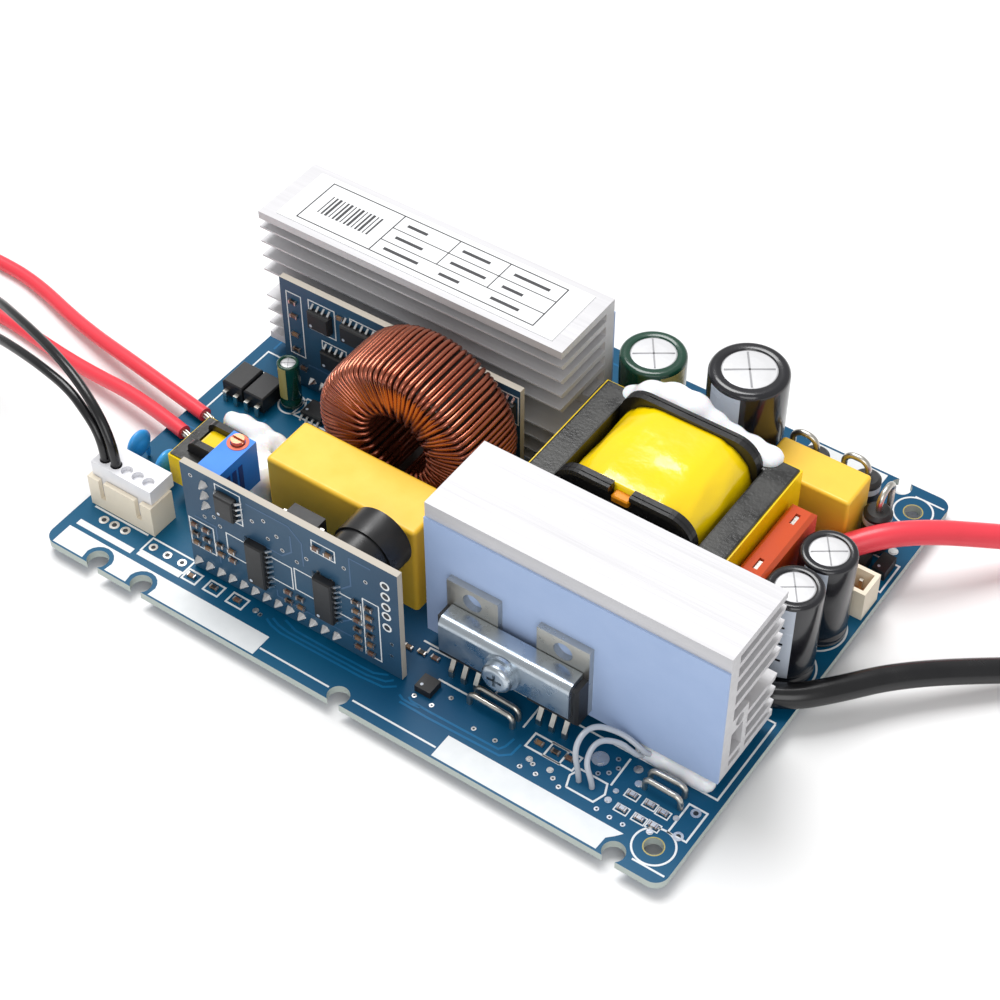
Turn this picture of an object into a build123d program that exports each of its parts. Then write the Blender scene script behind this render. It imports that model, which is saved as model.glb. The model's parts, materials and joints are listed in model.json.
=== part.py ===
import os
from math import cos, radians, sin, tan

from build123d import *

# Sine wave inverter board. Millimetres, Z up. Places are worked out from the front
# left corner of the board with its top face at Z = 0, and the whole is then set on
# its solder joints with the middle of the board over the origin.

# Main board
board_thickness = 1.6
corner_radius = 2.5
edge_margin = 1.2
front_bay = 20.2
back_bay = 21.4
mount_hole_radius = 1.6
mount_hole_inset_x = 5.0
mount_hole_inset_y = 6.0
notch_radius = 2.0
notch_depth = 1.6
notch_places = (11.6, 21.7, 65.4)
notch_from_right = 9.7
joint_radius = 1.0
joint_height = 1.8
joint_taper = 20

# Heat sinks, both cut from one extrusion
sink_height = 31.0
sink_depth = 16.8
sink_base = 2.6
sink_top = 1.6
sink_lift = 3.4
sink_pin_radius = 1.2
sink_pin_inset = 4.0
fin_pitch = 3.42
fin_thickness = 1.15
fin_bevel = 0.7
upper_fins = 4
lower_fins = 3
lower_fins_top = 10.9
web_set = 6.2
web_thickness = 1.4
foot_thickness = 1.5
channel_radius = 1.2
front_sink_length = 57.4
rear_sink_length = 66.7
rear_sink_x = 2.8
pad_thickness = 0.4
pad_drop = 3.2

# Power transistors and their clamps
tab_width = 10.2
tab_thickness = 1.3
tab_height = 15.6
tab_hole_radius = 1.85
tab_hole_drop = 2.8
case_height = 9.2
case_thickness = 4.5
case_bevel = 0.5
transistor_top = 20.7
transistor_pitch = 17.8
first_transistor = 10.4
rear_pair_inset = 9.0
leg_pitch = 2.54
leg_width = 0.9
leg_thickness = 0.5
leg_step = 1.2
leg_straight = 1.2
leg_foot = 1.4
clamp_thickness = 1.0
clamp_tab_gap = 0.1
clamp_face_height = 7.6
clamp_bend = 1.0
clamp_inset = 1.1
screw_head_radius = 2.9
screw_head_height = 1.9
screw_head_round = 0.9
screw_shank_radius = 1.5
screw_clearance = 0.1
screw_drop = 4.4
recess_width = 0.6
recess_depth = 0.9
washer_radius = 3.5
washer_thickness = 0.6

# Chips and small parts soldered flat
chip_pitch = 1.27
chip_end = 0.2
chip_width = 3.9
chip_height = 1.5
chip_standoff = 0.1
chip_bevel = 0.25
chip_lead_width = 0.42
chip_lead_reach = 1.05
chip_lead_thickness = 0.25
small_part_length = 1.7
small_part_width = 0.9
small_part_height = 0.6

# Upright control board with its parts
card_thickness = 1.3
card_clearance = 0.3
control_front = 10.2
control_x = 26.8
control_length = 45.6
control_height = 26.2
pin_pitch = 2.54
pin_size = 0.64
pin_reach = 2.2
pin_height = 2.6
cone_radius = 0.95
cone_height = 1.2
cone_taper = 30
control_pins = 13
first_control_pin = 1.4
control_chips = ((10.2, 21.7, 4), (15.9, 11.0, 8), (30.5, 11.5, 8))
control_groups = ((1.7, 7.2, 2, 3), (7.2, 7.6, 2, 2), (21.9, 4.9, 2, 2), (36.8, 2.9, 2, 6), (29.0, 22.7, 2, 1))
group_pitch_x = 2.6
group_pitch_z = 2.3
trimmer_width = 4.83
trimmer_depth = 10.0
trimmer_height = 9.5
trimmer_inset = 2.6
trimmer_drop = 0.5
trimmer_pins = 3
adjuster_radius = 1.2
adjuster_rise = 1.0
adjuster_seat = 0.4
adjuster_gap = 0.1
adjuster_inset = 1.9
adjuster_slot = 0.5
buzzer_radius = 6.0
buzzer_neck_radius = 5.6
buzzer_neck = 3.5
buzzer_length = 9.0
buzzer_place = 34.7
buzzer_drop = 6.2
buzzer_hole_radius = 1.0
buzzer_hole_depth = 1.5

# Four-legged isolators, two on the board and one behind the control board
isolator_length = 6.5
isolator_width = 4.6
isolator_height = 3.5
isolator_standoff = 0.7
isolator_lead_pitch = 2.54
isolator_lead_width = 0.9
isolator_lead_thickness = 0.35
isolator_lead_reach = 0.8
isolator_lead_level = 2.2
isolator_gap = 0.5
isolator_x = 3.4
isolator_y = 46.5
card_isolator_place = 23.7
card_isolator_drop = 4.7

# Upright driver board in front of the rear heat sink
driver_x = 10.6
driver_length = 53.6
driver_height = 25.6
driver_gap = 3.4
driver_setback = 1.7
driver_pins = 16
first_driver_pin = 6.0
driver_chips = ((9.6, 19.8, 4), (19.7, 20.2, 8), (12.0, 11.1, 4), (50.4, 20.6, 4))
driver_small_parts = ((3.0, 21.0), (3.0, 17.6), (3.0, 13.0), (3.0, 9.2), (4.3, 5.0), (14.0, 22.6))

# Film capacitors
film_length = 32.0
film_depth = 11.2
film_height = 19.6
film_setback = 12.6
film_round = 0.8
film_lead_inset = 2.5
small_film_length = 17.6
small_film_depth = 8.5
small_film_height = 14.6
small_film_x = 102.3
small_film_y = 76.0
small_film_round = 0.6

# Toroid choke
toroid_radius = 17.4
toroid_bore = 5.8
toroid_depth = 15.9
toroid_corner = 2.2
toroid_outer_wall = 1.3
toroid_inner_wall = 2.4
toroid_ridge = 0.45
toroid_turns = 60
toroid_ridge_share = 0.72
toroid_x = 49.0
toroid_setback = 4.2
toroid_wire_radius = 0.55
toroid_lead_inset = 4.0
toroid_lead_height = 2.5
core_fit = 0.2

# Transformer
core_length = 38.6
core_depth = 25.0
core_thickness = 12.6
core_top = 24.6
core_leg = 5.2
core_yoke = 3.6
core_post_radius = 5.0
bobbin_wall = 1.3
bobbin_gap = 0.4
bobbin_rise = 4.0
bobbin_round = 5.0
winding_rise = 6.0
winding_round = 8.0
winding_inset = 0.6
tape_thickness = 0.3
tape_inset = 0.3
rail_pins = 5
rail_inset = 2.0

# Small choke at the left
choke_x = 13.0
choke_y = 21.4
choke_length = 14.4
choke_depth = 11.0
choke_thickness = 7.4
choke_top = 11.2
choke_leg = 2.2
choke_yoke = 2.0
choke_post_radius = 1.9
choke_rise = 2.9
choke_round = 1.8
choke_winding_rise = 1.4
choke_pins = 2

# Round capacitors
bulk_radius = 6.5
bulk_height = 27.0
bulk_x = 94.3
bulk_y = 83.8
output_radius = 5.1
output_height = 21.5
output_x = 75.5
output_y = 83.0
input_radius = 5.0
input_height = 20.4
input_y = 49.6
input_pitch = 10.7
supply_radius = 2.1
supply_height = 11.0
supply_x = 15.4
supply_y = 52.0
sleeve_thickness = 0.3
sleeve_round = 0.8
rim_width = 1.4
can_lift = 0.3
can_lead_radius = 0.35
can_lead_share = 0.4

# Blade fuse
fuse_thickness = 4.8
fuse_length = 19.1
fuse_y = 47.0
fuse_top = 20.6
fuse_head = 5.0
fuse_skirt = 7.0
fuse_skirt_inset = 0.6
fuse_bevel = 0.7
fuse_window_length = 2.6
fuse_window_width = 0.9
fuse_window_depth = 1.0
blade_width = 5.2
blade_thickness = 0.8
blade_inset = 0.9

# Upright diodes
diode_radius = 2.6
diode_length = 8.8
diode_lift = 0.6
diode_wire_radius = 0.6
diode_loop_rise = 3.4
diode_loop_width = 4.8
diode_loop_bend = 2.1
diode_places = ((107.0, 88.5, 180), (117.4, 88.6, 180), (122.9, 82.5, 90))

# Disc capacitors
disc_radius = 3.0
disc_thickness = 2.6
disc_bevel = 0.7
disc_level = 4.8
disc_leg_radius = 0.4
disc_leg_pitch = 4.0
disc_places = ((2.2, 24.2), (9.6, 23.2))

# Connector of the thin leads
header_x = 1.5
header_y = 11.4
header_length = 14.9
header_depth = 5.75
header_height = 7.0
header_wall = 0.9
header_floor = 1.2
header_slot_width = 1.2
header_slot_depth = 4.4
header_slot_inset = 2.6
plug_gap = 0.1
plug_top = 10.2
plug_ledge = 0.5
plug_back = 1.2
contact_pitch = 2.5
contacts = 5
contact_height = 5.0
contact_gap = 0.1
socket_radius = 1.1
socket_depth = 1.0

# Two-way connector header
outlet_length = 5.5
outlet_depth = 5.8
outlet_height = 6.5
outlet_wall = 0.8
outlet_floor = 1.2
outlet_y = 66.0
outlet_margin = 0.5
outlet_pin_height = 5.0

# Parts soldered flat on the main board
board_chip_places = ((21.2, 52.4, 4),)
square_chip_place = (76.9, 11.3)
square_chip_size = 3.2
board_small_parts = (
    (28.0, 7.9), (33.0, 8.0), (38.2, 8.1), (69.0, 16.6), (71.6, 16.9), (74.2, 17.2), (98.8, 12.4), (102.0, 12.4),
    (104.6, 12.6), (116.9, 12.4), (120.3, 12.4), (122.9, 12.2), (117.0, 9.1), (120.3, 9.1), (122.9, 9.2),
)
flat_diode_length = 4.4
flat_diode_width = 2.6
flat_diode_height = 2.2
flat_diode_places = ((123.4, 76.6), (127.2, 78.4))

# Wire jumpers and sensor leads
jumper_radius = 0.5
jumper_rise = 2.6
jumper_bend = 1.2
jumper_routes = (((84.4, 12.9), (93.2, 12.7)), ((84.6, 14.8), (93.1, 14.6)), ((117.7, 14.8), (124.6, 14.6)),
                 ((117.6, 16.8), (124.0, 17.0)))
sensor_radius = 0.5
sensor_places = ((108.2, 9.9), (110.7, 10.0))
sensor_rise = 5.4
sensor_drift = 4.6
sensor_level = 2.0
sensor_straight = 1.6
sensor_bend = 1.5

# Silicone that steadies the parts
front_blob_length = 15.0
front_blob_reach = 1.6
front_blob_depth = 4.4
front_blob_from_right = 0.6
choke_blob_height = 14.6
choke_blob_cover = 6.4
choke_blob_inset = 0.8
back_blob_x = 77.0
back_blob_length = 24.0
back_blob_depth = 5.6
back_blob_height = 15.0
blob_round = 2.2

# Paper label
label_inset = 3.0
label_thickness = 0.15

# Leads
output_lead_radius = 1.4
input_lead_radius = 2.25
thin_lead_radius = 0.9
strand_share = 0.6
strand_bend = 1.0
arc_share = 0.45
output_routes = (
    ((4.9, 39.3, 1.6), (-13.0, 42.3, 1.3), (-32.4, 46.3, -0.9), (-50.0, 51.6, -1.9), (-60.9, 52.4, -2.0),
     (-75.8, 51.6, -2.0), (-90.0, 49.0, -2.0)),
    ((4.7, 33.5, 1.6), (-7.9, 36.1, 1.3), (-24.3, 37.4, -0.8), (-38.5, 39.4, -1.9), (-49.7, 40.7, -2.0),
     (-64.6, 39.4, -2.0), (-78.0, 35.5, -2.0)),
)
output_tips = (((6.6, 39.0, 1.6), (6.6, 39.0, 0)), ((6.4, 33.2, 1.6), (6.4, 33.2, 0)))
input_routes = (
    ((116.6, 69.4, 4.4), (122.2, 74.6, 7.6), (129.8, 82.2, 8.6), (141.7, 93.7, 4.2), (153.0, 103.5, 0.2),
     (163.0, 112.0, -1.1)),
    ((115.5, 39.6, 2.6), (122.5, 39.6, 2.7), (129.0, 42.4, 2.9), (134.0, 47.6, 3.0), (141.2, 57.0, 2.6),
     (154.2, 69.0, 0.9), (166.0, 79.0, -1.1)),
)
input_tips = (((115.2, 68.1, 3.6), (115.2, 68.1, 0)), ((113.6, 39.6, 2.6), (113.6, 39.6, 0)))
thin_route_rise = 3.0
thin_routes = (
    ((2.4, 15.0, 15.6), (-0.6, 15.8, 18.0), (-5.6, 17.1, 20.2), (-13.0, 18.3, 20.6), (-20.0, 19.9, 19.4),
     (-27.6, 22.0, 17.0), (-38.0, 25.2, 12.4), (-49.0, 28.5, 6.6), (-60.0, 31.0, 1.2), (-70.0, 31.5, -2.0)),
    ((4.9, 15.1, 16.0), (1.3, 16.5, 19.4), (-5.2, 18.8, 21.8), (-13.0, 21.4, 22.2), (-20.7, 24.1, 21.0),
     (-28.4, 27.0, 18.9), (-36.0, 30.2, 16.0), (-48.0, 35.0, 10.0), (-60.0, 39.5, 3.5), (-72.0, 43.0, -0.6),
     (-82.0, 43.6, -2.3)),
)

# Gaps between neighbours in a row
choke_film_gap = 6.0
row_gap = 5.4
core_gap = 4.8
fuse_gap = 0.9
input_gap = 0.2
transformer_setback = 7.6

# Rows of parts that set the size of the board
film_x = choke_x + choke_length + choke_film_gap
front_sink_x = film_x + film_length + row_gap
transformer_x = rear_sink_x + rear_sink_length + core_gap
fuse_x = transformer_x + core_length + fuse_gap
input_x = fuse_x + fuse_thickness + input_gap + input_radius
board_length = max(front_sink_x + front_sink_length, input_x + input_radius) + edge_margin

film_y = control_front + card_thickness + film_setback
toroid_y = film_y + film_depth + toroid_setback
driver_y = toroid_y + toroid_depth + driver_setback
rear_sink_y = driver_y + card_thickness + driver_gap
rear_face = rear_sink_y + sink_depth
board_width = rear_face + back_bay
transformer_y = front_bay + sink_depth + transformer_setback
sink_ceiling = sink_lift + sink_height
tab_bottom = transistor_top - tab_height
clamp_top = tab_bottom + case_height + clamp_thickness
screw_level = clamp_top - screw_drop
card_top = card_clearance + control_height

middle = (Align.CENTER, Align.CENTER, Align.MIN)
corner = (Align.MIN, Align.MIN, Align.MIN)
lead_points = []


def block(x, y, z, length, depth, height):
    return Pos(x, y, z) * Box(length, depth, height, align=corner)


def post(x, y, z, radius, height):
    return Pos(x, y, z) * Cylinder(radius, height, align=middle)


def post_along_y(x, y, z, radius, length):
    return Pos(x, y, z) * Rot(-90, 0, 0) * Cylinder(radius, length, align=middle)


def outline(*corners):
    return make_face(Polyline(*corners, close=True))


def rectangle(x, y, width, height):
    return Pos(x, y) * Rectangle(width, height, align=(Align.MIN, Align.MIN))


def bar_along_x(section, x, length):
    # The section is drawn as (depth, height) and runs to the right from x.
    return extrude(Plane.YZ.offset(x) * section, length, dir=(1, 0, 0))


def bar_along_y(section, y, length):
    # The section is drawn as (x, height) and runs to the back from y.
    return extrude(Plane.XZ.offset(-y) * section, length, dir=(0, 1, 0))


def bent_strip(points, thickness, x, width):
    # A flat strip bent in the depth and height plane, centred on x.
    section = trace(Polyline(*points), thickness)
    return bar_along_x(section, x - width / 2, width)


def round_wire(points, bend, wire_radius):
    path = FilletPolyline(*points, radius=bend)
    return sweep(Plane(origin=path @ 0, z_dir=path % 0) * Circle(wire_radius), path=path)


def solder(x, y):
    lead_points.append((x, y))


def rear(shape):
    # Turns what stands before the front heat sink so that it stands behind the rear one.
    return Pos(0, rear_face, 0) * mirror(shape, Plane.XZ)


def front(shape):
    return Pos(0, front_bay, 0) * shape


def at_front(depth):
    return front_bay + depth


def at_rear(depth):
    return rear_face - depth


def make_board():
    plate = RectangleRounded(board_length, board_width, corner_radius, align=(Align.MIN, Align.MIN))
    for y in (mount_hole_inset_y, board_width - mount_hole_inset_y):
        plate -= Pos(board_length - mount_hole_inset_x, y) * Circle(mount_hole_radius)
    right_notch = board_length - notch_from_right
    for x in (*notch_places, right_notch):
        plate -= Pos(x, notch_depth) * Circle(notch_radius)
    plate -= Pos(right_notch, board_width - notch_depth) * Circle(notch_radius)
    return [extrude(plate, -board_thickness)]


def make_solder_joints():
    # One six-sided stub under the board for each lead that is soldered through it.
    joint = extrude(RegularPolygon(joint_radius, 6), -joint_height, taper=joint_taper)
    return [Pos(x, y, -board_thickness) * joint for x, y in lead_points]


# Heat sinks, pads, transistors and clamps are drawn with the flat face of the heat
# sink on the plane Y = 0 and the fins behind it.
def fin(root, top):
    low = top - fin_thickness
    shoulder = sink_depth - fin_bevel
    return outline((root, low), (shoulder, low), (sink_depth, top - fin_bevel / 2), (sink_depth, top), (root, top))


def sink_section():
    section = rectangle(0, 0, sink_base, sink_height)
    section += rectangle(0, sink_height - sink_top, sink_depth, sink_top)
    section += rectangle(0, 0, sink_depth, foot_thickness)
    section += rectangle(web_set, 0, web_thickness, lower_fins_top)
    junction = lower_fins_top - fin_thickness
    section += rectangle(0, junction, web_set + web_thickness, fin_pitch)
    section -= Pos(web_set - channel_radius, junction + fin_pitch / 2) * Circle(channel_radius)
    section += rectangle(0, junction - 2 * fin_pitch, web_set, fin_thickness)
    for place in range(1, upper_fins + 1):
        section += fin(0, sink_height - place * fin_pitch)
    for place in range(lower_fins):
        section += fin(web_set, lower_fins_top - place * fin_pitch)
    return section


def make_sink(x, length, screw_places, depth_to_y):
    sink = bar_along_x(Pos(0, sink_lift) * sink_section(), x, length)
    for pin_x in (x + sink_pin_inset, x + length - sink_pin_inset):
        sink += post(pin_x, sink_depth / 2, 0, sink_pin_radius, sink_lift + foot_thickness)
        solder(pin_x, depth_to_y(sink_depth / 2))
    for screw_x in screw_places:
        sink -= post_along_y(screw_x, 0, screw_level, screw_shank_radius + screw_clearance, sink_base)
    return sink


def make_pad(x, length, screw_places):
    pad = block(x, -pad_thickness, sink_lift, length, pad_thickness, sink_height - pad_drop)
    for screw_x in screw_places:
        pad -= post_along_y(screw_x, -pad_thickness, screw_level, screw_shank_radius + screw_clearance, pad_thickness)
    return pad


def transistor_frame(x, depth_to_y):
    # Metal tab against the pad, and three legs that step away from it to the board.
    tab_front = -pad_thickness - tab_thickness
    tab = block(x - tab_width / 2, tab_front, tab_bottom, tab_width, tab_thickness, tab_height)
    tab -= post_along_y(x, tab_front, transistor_top - tab_hole_drop, tab_hole_radius, tab_thickness)
    top = -pad_thickness - (case_thickness + tab_thickness) / 2
    foot = top - leg_step
    bend = ((top, tab_bottom), (top, tab_bottom - leg_straight), (foot, leg_foot), (foot, 0))
    pieces = [tab]
    for place in (-1, 0, 1):
        leg_x = x + place * leg_pitch
        pieces.append(bent_strip(bend, leg_thickness, leg_x, leg_width))
        solder(leg_x, depth_to_y(foot))
    return pieces


def transistor_case(x):
    case_front = -pad_thickness - case_thickness
    case = block(x - tab_width / 2, case_front, tab_bottom, tab_width, case_thickness - tab_thickness, case_height)
    return chamfer(case.faces().sort_by(Axis.Y)[0].edges(), case_bevel)


def clamp_bar(pair):
    # Folded strip: a flange on top of the cases and a face down their front.
    face = -pad_thickness - case_thickness - clamp_thickness / 2
    flange = clamp_top - clamp_thickness / 2
    flange_end = -pad_thickness - tab_thickness - clamp_tab_gap
    bend = ((face, clamp_top - clamp_face_height), (face, flange), (flange_end, flange))
    section = trace(FilletPolyline(*bend, radius=clamp_bend), clamp_thickness)
    left = pair[0] - tab_width / 2 + clamp_inset
    right = pair[1] + tab_width / 2 - clamp_inset
    bar = bar_along_x(section, left, right - left)
    hole_y = face - clamp_thickness / 2
    hole = screw_shank_radius + screw_clearance
    return bar - post_along_y(sum(pair) / 2, hole_y, screw_level, hole, clamp_thickness)


def clamp_screw(x):
    seat = -pad_thickness - case_thickness - clamp_thickness - washer_thickness
    head = Cylinder(screw_head_radius, screw_head_height, align=middle)
    head = fillet(head.edges().group_by(Axis.Z)[-1], screw_head_round)
    for turn in (0, 90):
        slot = Box(recess_width, screw_head_radius, recess_depth, align=(Align.CENTER, Align.CENTER, Align.MAX))
        head -= Pos(0, 0, screw_head_height) * Rot(0, 0, turn) * slot
    screw = Pos(x, seat, screw_level) * Rot(90, 0, 0) * head
    return screw + post_along_y(x, seat, screw_level, screw_shank_radius, sink_base - seat)


def clamp_washer(x):
    back = -pad_thickness - case_thickness - clamp_thickness
    washer = post_along_y(x, back - washer_thickness, screw_level, washer_radius, washer_thickness)
    hole = screw_shank_radius + screw_clearance
    return washer - post_along_y(x, back - washer_thickness, screw_level, hole, washer_thickness)


# Flat parts are drawn lying on the plane Z = 0 with their middle over the origin.
def chip_body(leads_per_side):
    length = leads_per_side * chip_pitch - chip_end
    body = Pos(0, 0, chip_standoff) * Box(chip_width, length, chip_height, align=middle)
    return chamfer(body.edges().group_by(Axis.Z)[-1], chip_bevel)


def chip_leads(leads_per_side):
    side = chip_width / 2
    knee = side + chip_lead_reach / 3
    toe = side + chip_lead_reach
    level = chip_standoff + chip_height / 2
    section = outline((side, level), (knee, level), (toe, 0), (toe - chip_lead_thickness * 1.5, 0),
                      (knee - chip_lead_thickness / 2, level - chip_lead_thickness),
                      (side, level - chip_lead_thickness))
    leads = []
    for place in range(leads_per_side):
        y = (place - (leads_per_side - 1) / 2) * chip_pitch - chip_lead_width / 2
        lead = bar_along_y(section, y, chip_lead_width)
        leads += [lead, mirror(lead, Plane.YZ)]
    return leads


def small_part():
    return Box(small_part_length, small_part_width, small_part_height, align=middle)


def isolator_body():
    body = Pos(0, 0, isolator_standoff) * Box(isolator_width, isolator_length, isolator_height, align=middle)
    return chamfer(body.edges().group_by(Axis.Z)[-1], chip_bevel)


def isolator_leads():
    end = isolator_length / 2
    toe = end + isolator_lead_reach
    bend = ((end, isolator_lead_level), (toe, isolator_lead_level), (toe, 0))
    leads = []
    for side in (-1, 1):
        lead = bent_strip(bend, isolator_lead_thickness, side * isolator_lead_pitch / 2, isolator_lead_width)
        leads += [lead, mirror(lead, Plane.XZ)]
    return leads


def on_card(shape, x, y, place, height):
    return Pos(x + place, y, card_clearance + height) * Rot(90, 0, 0) * shape


def behind_card(shape, x, y, place, height):
    return Pos(x + place, y + card_thickness, card_clearance + height) * Rot(-90, 0, 0) * shape


# Upright boards
def card_pins(x, y, pins, first_pin):
    # Right-angle pins through the card, each soldered at its front face and in the board.
    down = y + card_thickness + pin_reach
    bend = ((y, pin_height), (down, pin_height), (down, 0))
    places = [x + first_pin + place * pin_pitch for place in range(pins)]
    for pin_x in places:
        solder(pin_x, down)
    return places, [bent_strip(bend, pin_size, pin_x, pin_size) for pin_x in places]


def solder_cone(x, y, z):
    cone = extrude(RegularPolygon(cone_radius, 6), cone_height, taper=cone_taper)
    return Pos(x, y, z) * Rot(90, 0, 0) * cone


def make_trimmer():
    x = control_x + trimmer_inset
    y = control_front + card_thickness
    top = card_top - trimmer_drop
    body = block(x, y, top - trimmer_height, trimmer_width, trimmer_depth, trimmer_height)
    seat_x = x + trimmer_width / 2
    seat_y = y + trimmer_depth - adjuster_inset
    seat_z = top - adjuster_seat
    body -= post(seat_x, seat_y, seat_z, adjuster_radius + adjuster_gap, adjuster_seat)
    screw = post(seat_x, seat_y, seat_z, adjuster_radius, adjuster_seat + adjuster_rise)
    slot = Box(2 * adjuster_radius, adjuster_slot, adjuster_slot, align=(Align.CENTER, Align.CENTER, Align.MAX))
    screw -= Pos(seat_x, seat_y, top + adjuster_rise) * slot
    cones = []
    for place in range(trimmer_pins):
        height = top - trimmer_height + trimmer_height / 2 + (place - 1) * pin_pitch
        cones.append(solder_cone(x + trimmer_width / 2, control_front, height))
    return body, screw, cones


def make_buzzer():
    x = control_x + buzzer_place
    y = control_front + card_thickness
    z = card_top - buzzer_drop
    body = post_along_y(x, y, z, buzzer_neck_radius, buzzer_length)
    body += post_along_y(x, y + buzzer_neck, z, buzzer_radius, buzzer_length - buzzer_neck)
    end = y + buzzer_length - buzzer_hole_depth
    return body - post_along_y(x, end, z, buzzer_hole_radius, buzzer_hole_depth)


# Block capacitors
def film_capacitor(x, y, length, depth, height, rounding):
    body = block(x, y, 0, length, depth, height)
    for lead_x in (x + film_lead_inset, x + length - film_lead_inset):
        solder(lead_x, y + depth / 2)
    return fillet(body.edges() - body.edges().group_by(Axis.Z)[0], rounding)


# Toroid choke, standing on its rim
def ring_section(inner, outer, depth, bevel):
    half = depth / 2
    return outline((inner + bevel, -half), (outer - bevel, -half), (outer, bevel - half), (outer, half - bevel),
                   (outer - bevel, half), (inner + bevel, half), (inner, half - bevel), (inner, bevel - half))


def make_toroid():
    hollow_inner = toroid_bore + toroid_inner_wall
    hollow_outer = toroid_radius - toroid_outer_wall
    hollow_depth = toroid_depth - 2 * toroid_outer_wall
    hollow = revolve(ring_section(hollow_inner, hollow_outer, hollow_depth, core_fit), Axis.Y)
    core = revolve(ring_section(hollow_inner + core_fit, hollow_outer - core_fit, hollow_depth - 2 * core_fit,
                                core_fit), Axis.Y)
    groove = ring_section(toroid_bore + toroid_ridge, toroid_radius - toroid_ridge,
                          toroid_depth - 2 * toroid_ridge, toroid_corner)
    step = 360 / toroid_turns
    ridge = revolve(ring_section(toroid_bore, toroid_radius, toroid_depth, toroid_corner), Axis.Y,
                    revolution_arc=step * toroid_ridge_share)
    winding = revolve(groove, Axis.Y) + [Rot(0, turn * step, 0) * ridge for turn in range(toroid_turns)] - hollow
    middle_y = toroid_y + toroid_depth / 2
    place = Pos(toroid_x, middle_y, toroid_radius)
    winding = place * winding
    reach = toroid_depth / 2 - toroid_lead_inset
    for side in (-1, 1):
        lead_y = middle_y + side * reach
        winding += post(toroid_x + side * toroid_lead_inset, lead_y, 0, toroid_wire_radius, toroid_lead_height)
        solder(toroid_x + side * toroid_lead_inset, lead_y)
    return place * core, winding


# Wound parts with a ferrite core lying flat: legs left and right, yokes front and
# back, and the coil on a middle post that runs from front to back.
def ferrite_core(x, y, top, length, depth, thickness, leg, yoke, post_radius):
    core = block(x, y, top - thickness, length, depth, thickness)
    core -= block(x + leg, y + yoke, top - thickness, length - 2 * leg, depth - 2 * yoke, thickness)
    return core + post_along_y(x + length / 2, y + yoke, top - thickness / 2, post_radius, depth - 2 * yoke)


def coil_bobbin(x, y, top, length, depth, thickness, leg, yoke, post_radius, rise, rounding, pins):
    # Two flanges on a tube round the post, each with a rail of pins under its yoke.
    middle_x = x + length / 2
    middle_z = top - thickness / 2
    width = length - 2 * leg - 2 * bobbin_gap
    height = thickness + 2 * rise
    flange = RectangleRounded(width, height, rounding)
    hole = post_radius + bobbin_gap
    tube = post_along_y(middle_x, y + yoke, middle_z, hole + bobbin_wall, depth - 2 * yoke)
    bobbin = tube
    for flange_y in (y + yoke, y + depth - yoke - bobbin_wall):
        bobbin += bar_along_y(Pos(middle_x, middle_z) * flange, flange_y, bobbin_wall)
    rail_height = top - thickness
    for rail_y in (y, y + depth - yoke - bobbin_wall):
        bobbin += block(middle_x - width / 2, rail_y, 0, width, yoke + bobbin_wall, rail_height)
    for place in range(pins):
        pin_x = middle_x - width / 2 + rail_inset + place * (width - 2 * rail_inset) / (pins - 1)
        solder(pin_x, y + yoke / 2)
        solder(pin_x, y + depth - yoke / 2)
    return bobbin - post_along_y(middle_x, y + yoke, middle_z, hole, depth - 2 * yoke)


def coil_winding(x, y, top, length, depth, thickness, leg, yoke, post_radius, rise, rounding):
    width = length - 2 * leg - 2 * winding_inset
    hole = post_radius + bobbin_gap + bobbin_wall
    section = RectangleRounded(width, thickness + 2 * rise, rounding) - Circle(hole)
    start = y + yoke + bobbin_wall
    return bar_along_y(Pos(x + length / 2, top - thickness / 2) * section, start, depth - 2 * (yoke + bobbin_wall))


def core_tape(x, y, top, length, depth, thickness):
    band = block(x - tape_thickness, y - tape_thickness, top - thickness + tape_inset, length + 2 * tape_thickness,
                 depth + 2 * tape_thickness, thickness - 2 * tape_inset)
    return band - block(x, y, top - thickness, length, depth, thickness)


# Round capacitors
def capacitor_can(x, y, radius, height):
    can_radius = radius - sleeve_thickness
    can = post(x, y, can_lift, can_radius, height - can_lift - sleeve_thickness)
    can = chamfer(can.edges().group_by(Axis.Z)[-1], sleeve_round)
    pieces = [can]
    for side in (-1, 1):
        lead_x = x + side * radius * can_lead_share
        pieces.append(post(lead_x, y, 0, can_lead_radius, can_lift))
        solder(lead_x, y)
    return pieces


def capacitor_sleeve(x, y, radius, height):
    inner = radius - sleeve_thickness
    rim = radius - rim_width
    ceiling = height - sleeve_thickness
    shoulder = height - sleeve_thickness - sleeve_round
    profile = outline((inner, can_lift), (radius, can_lift), (radius, height - sleeve_round),
                      (radius - sleeve_round, height), (rim, height), (rim, ceiling),
                      (inner - sleeve_round, ceiling), (inner, shoulder))
    return Pos(x, y, 0) * revolve(Plane.XZ * profile, Axis.Z)


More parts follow.
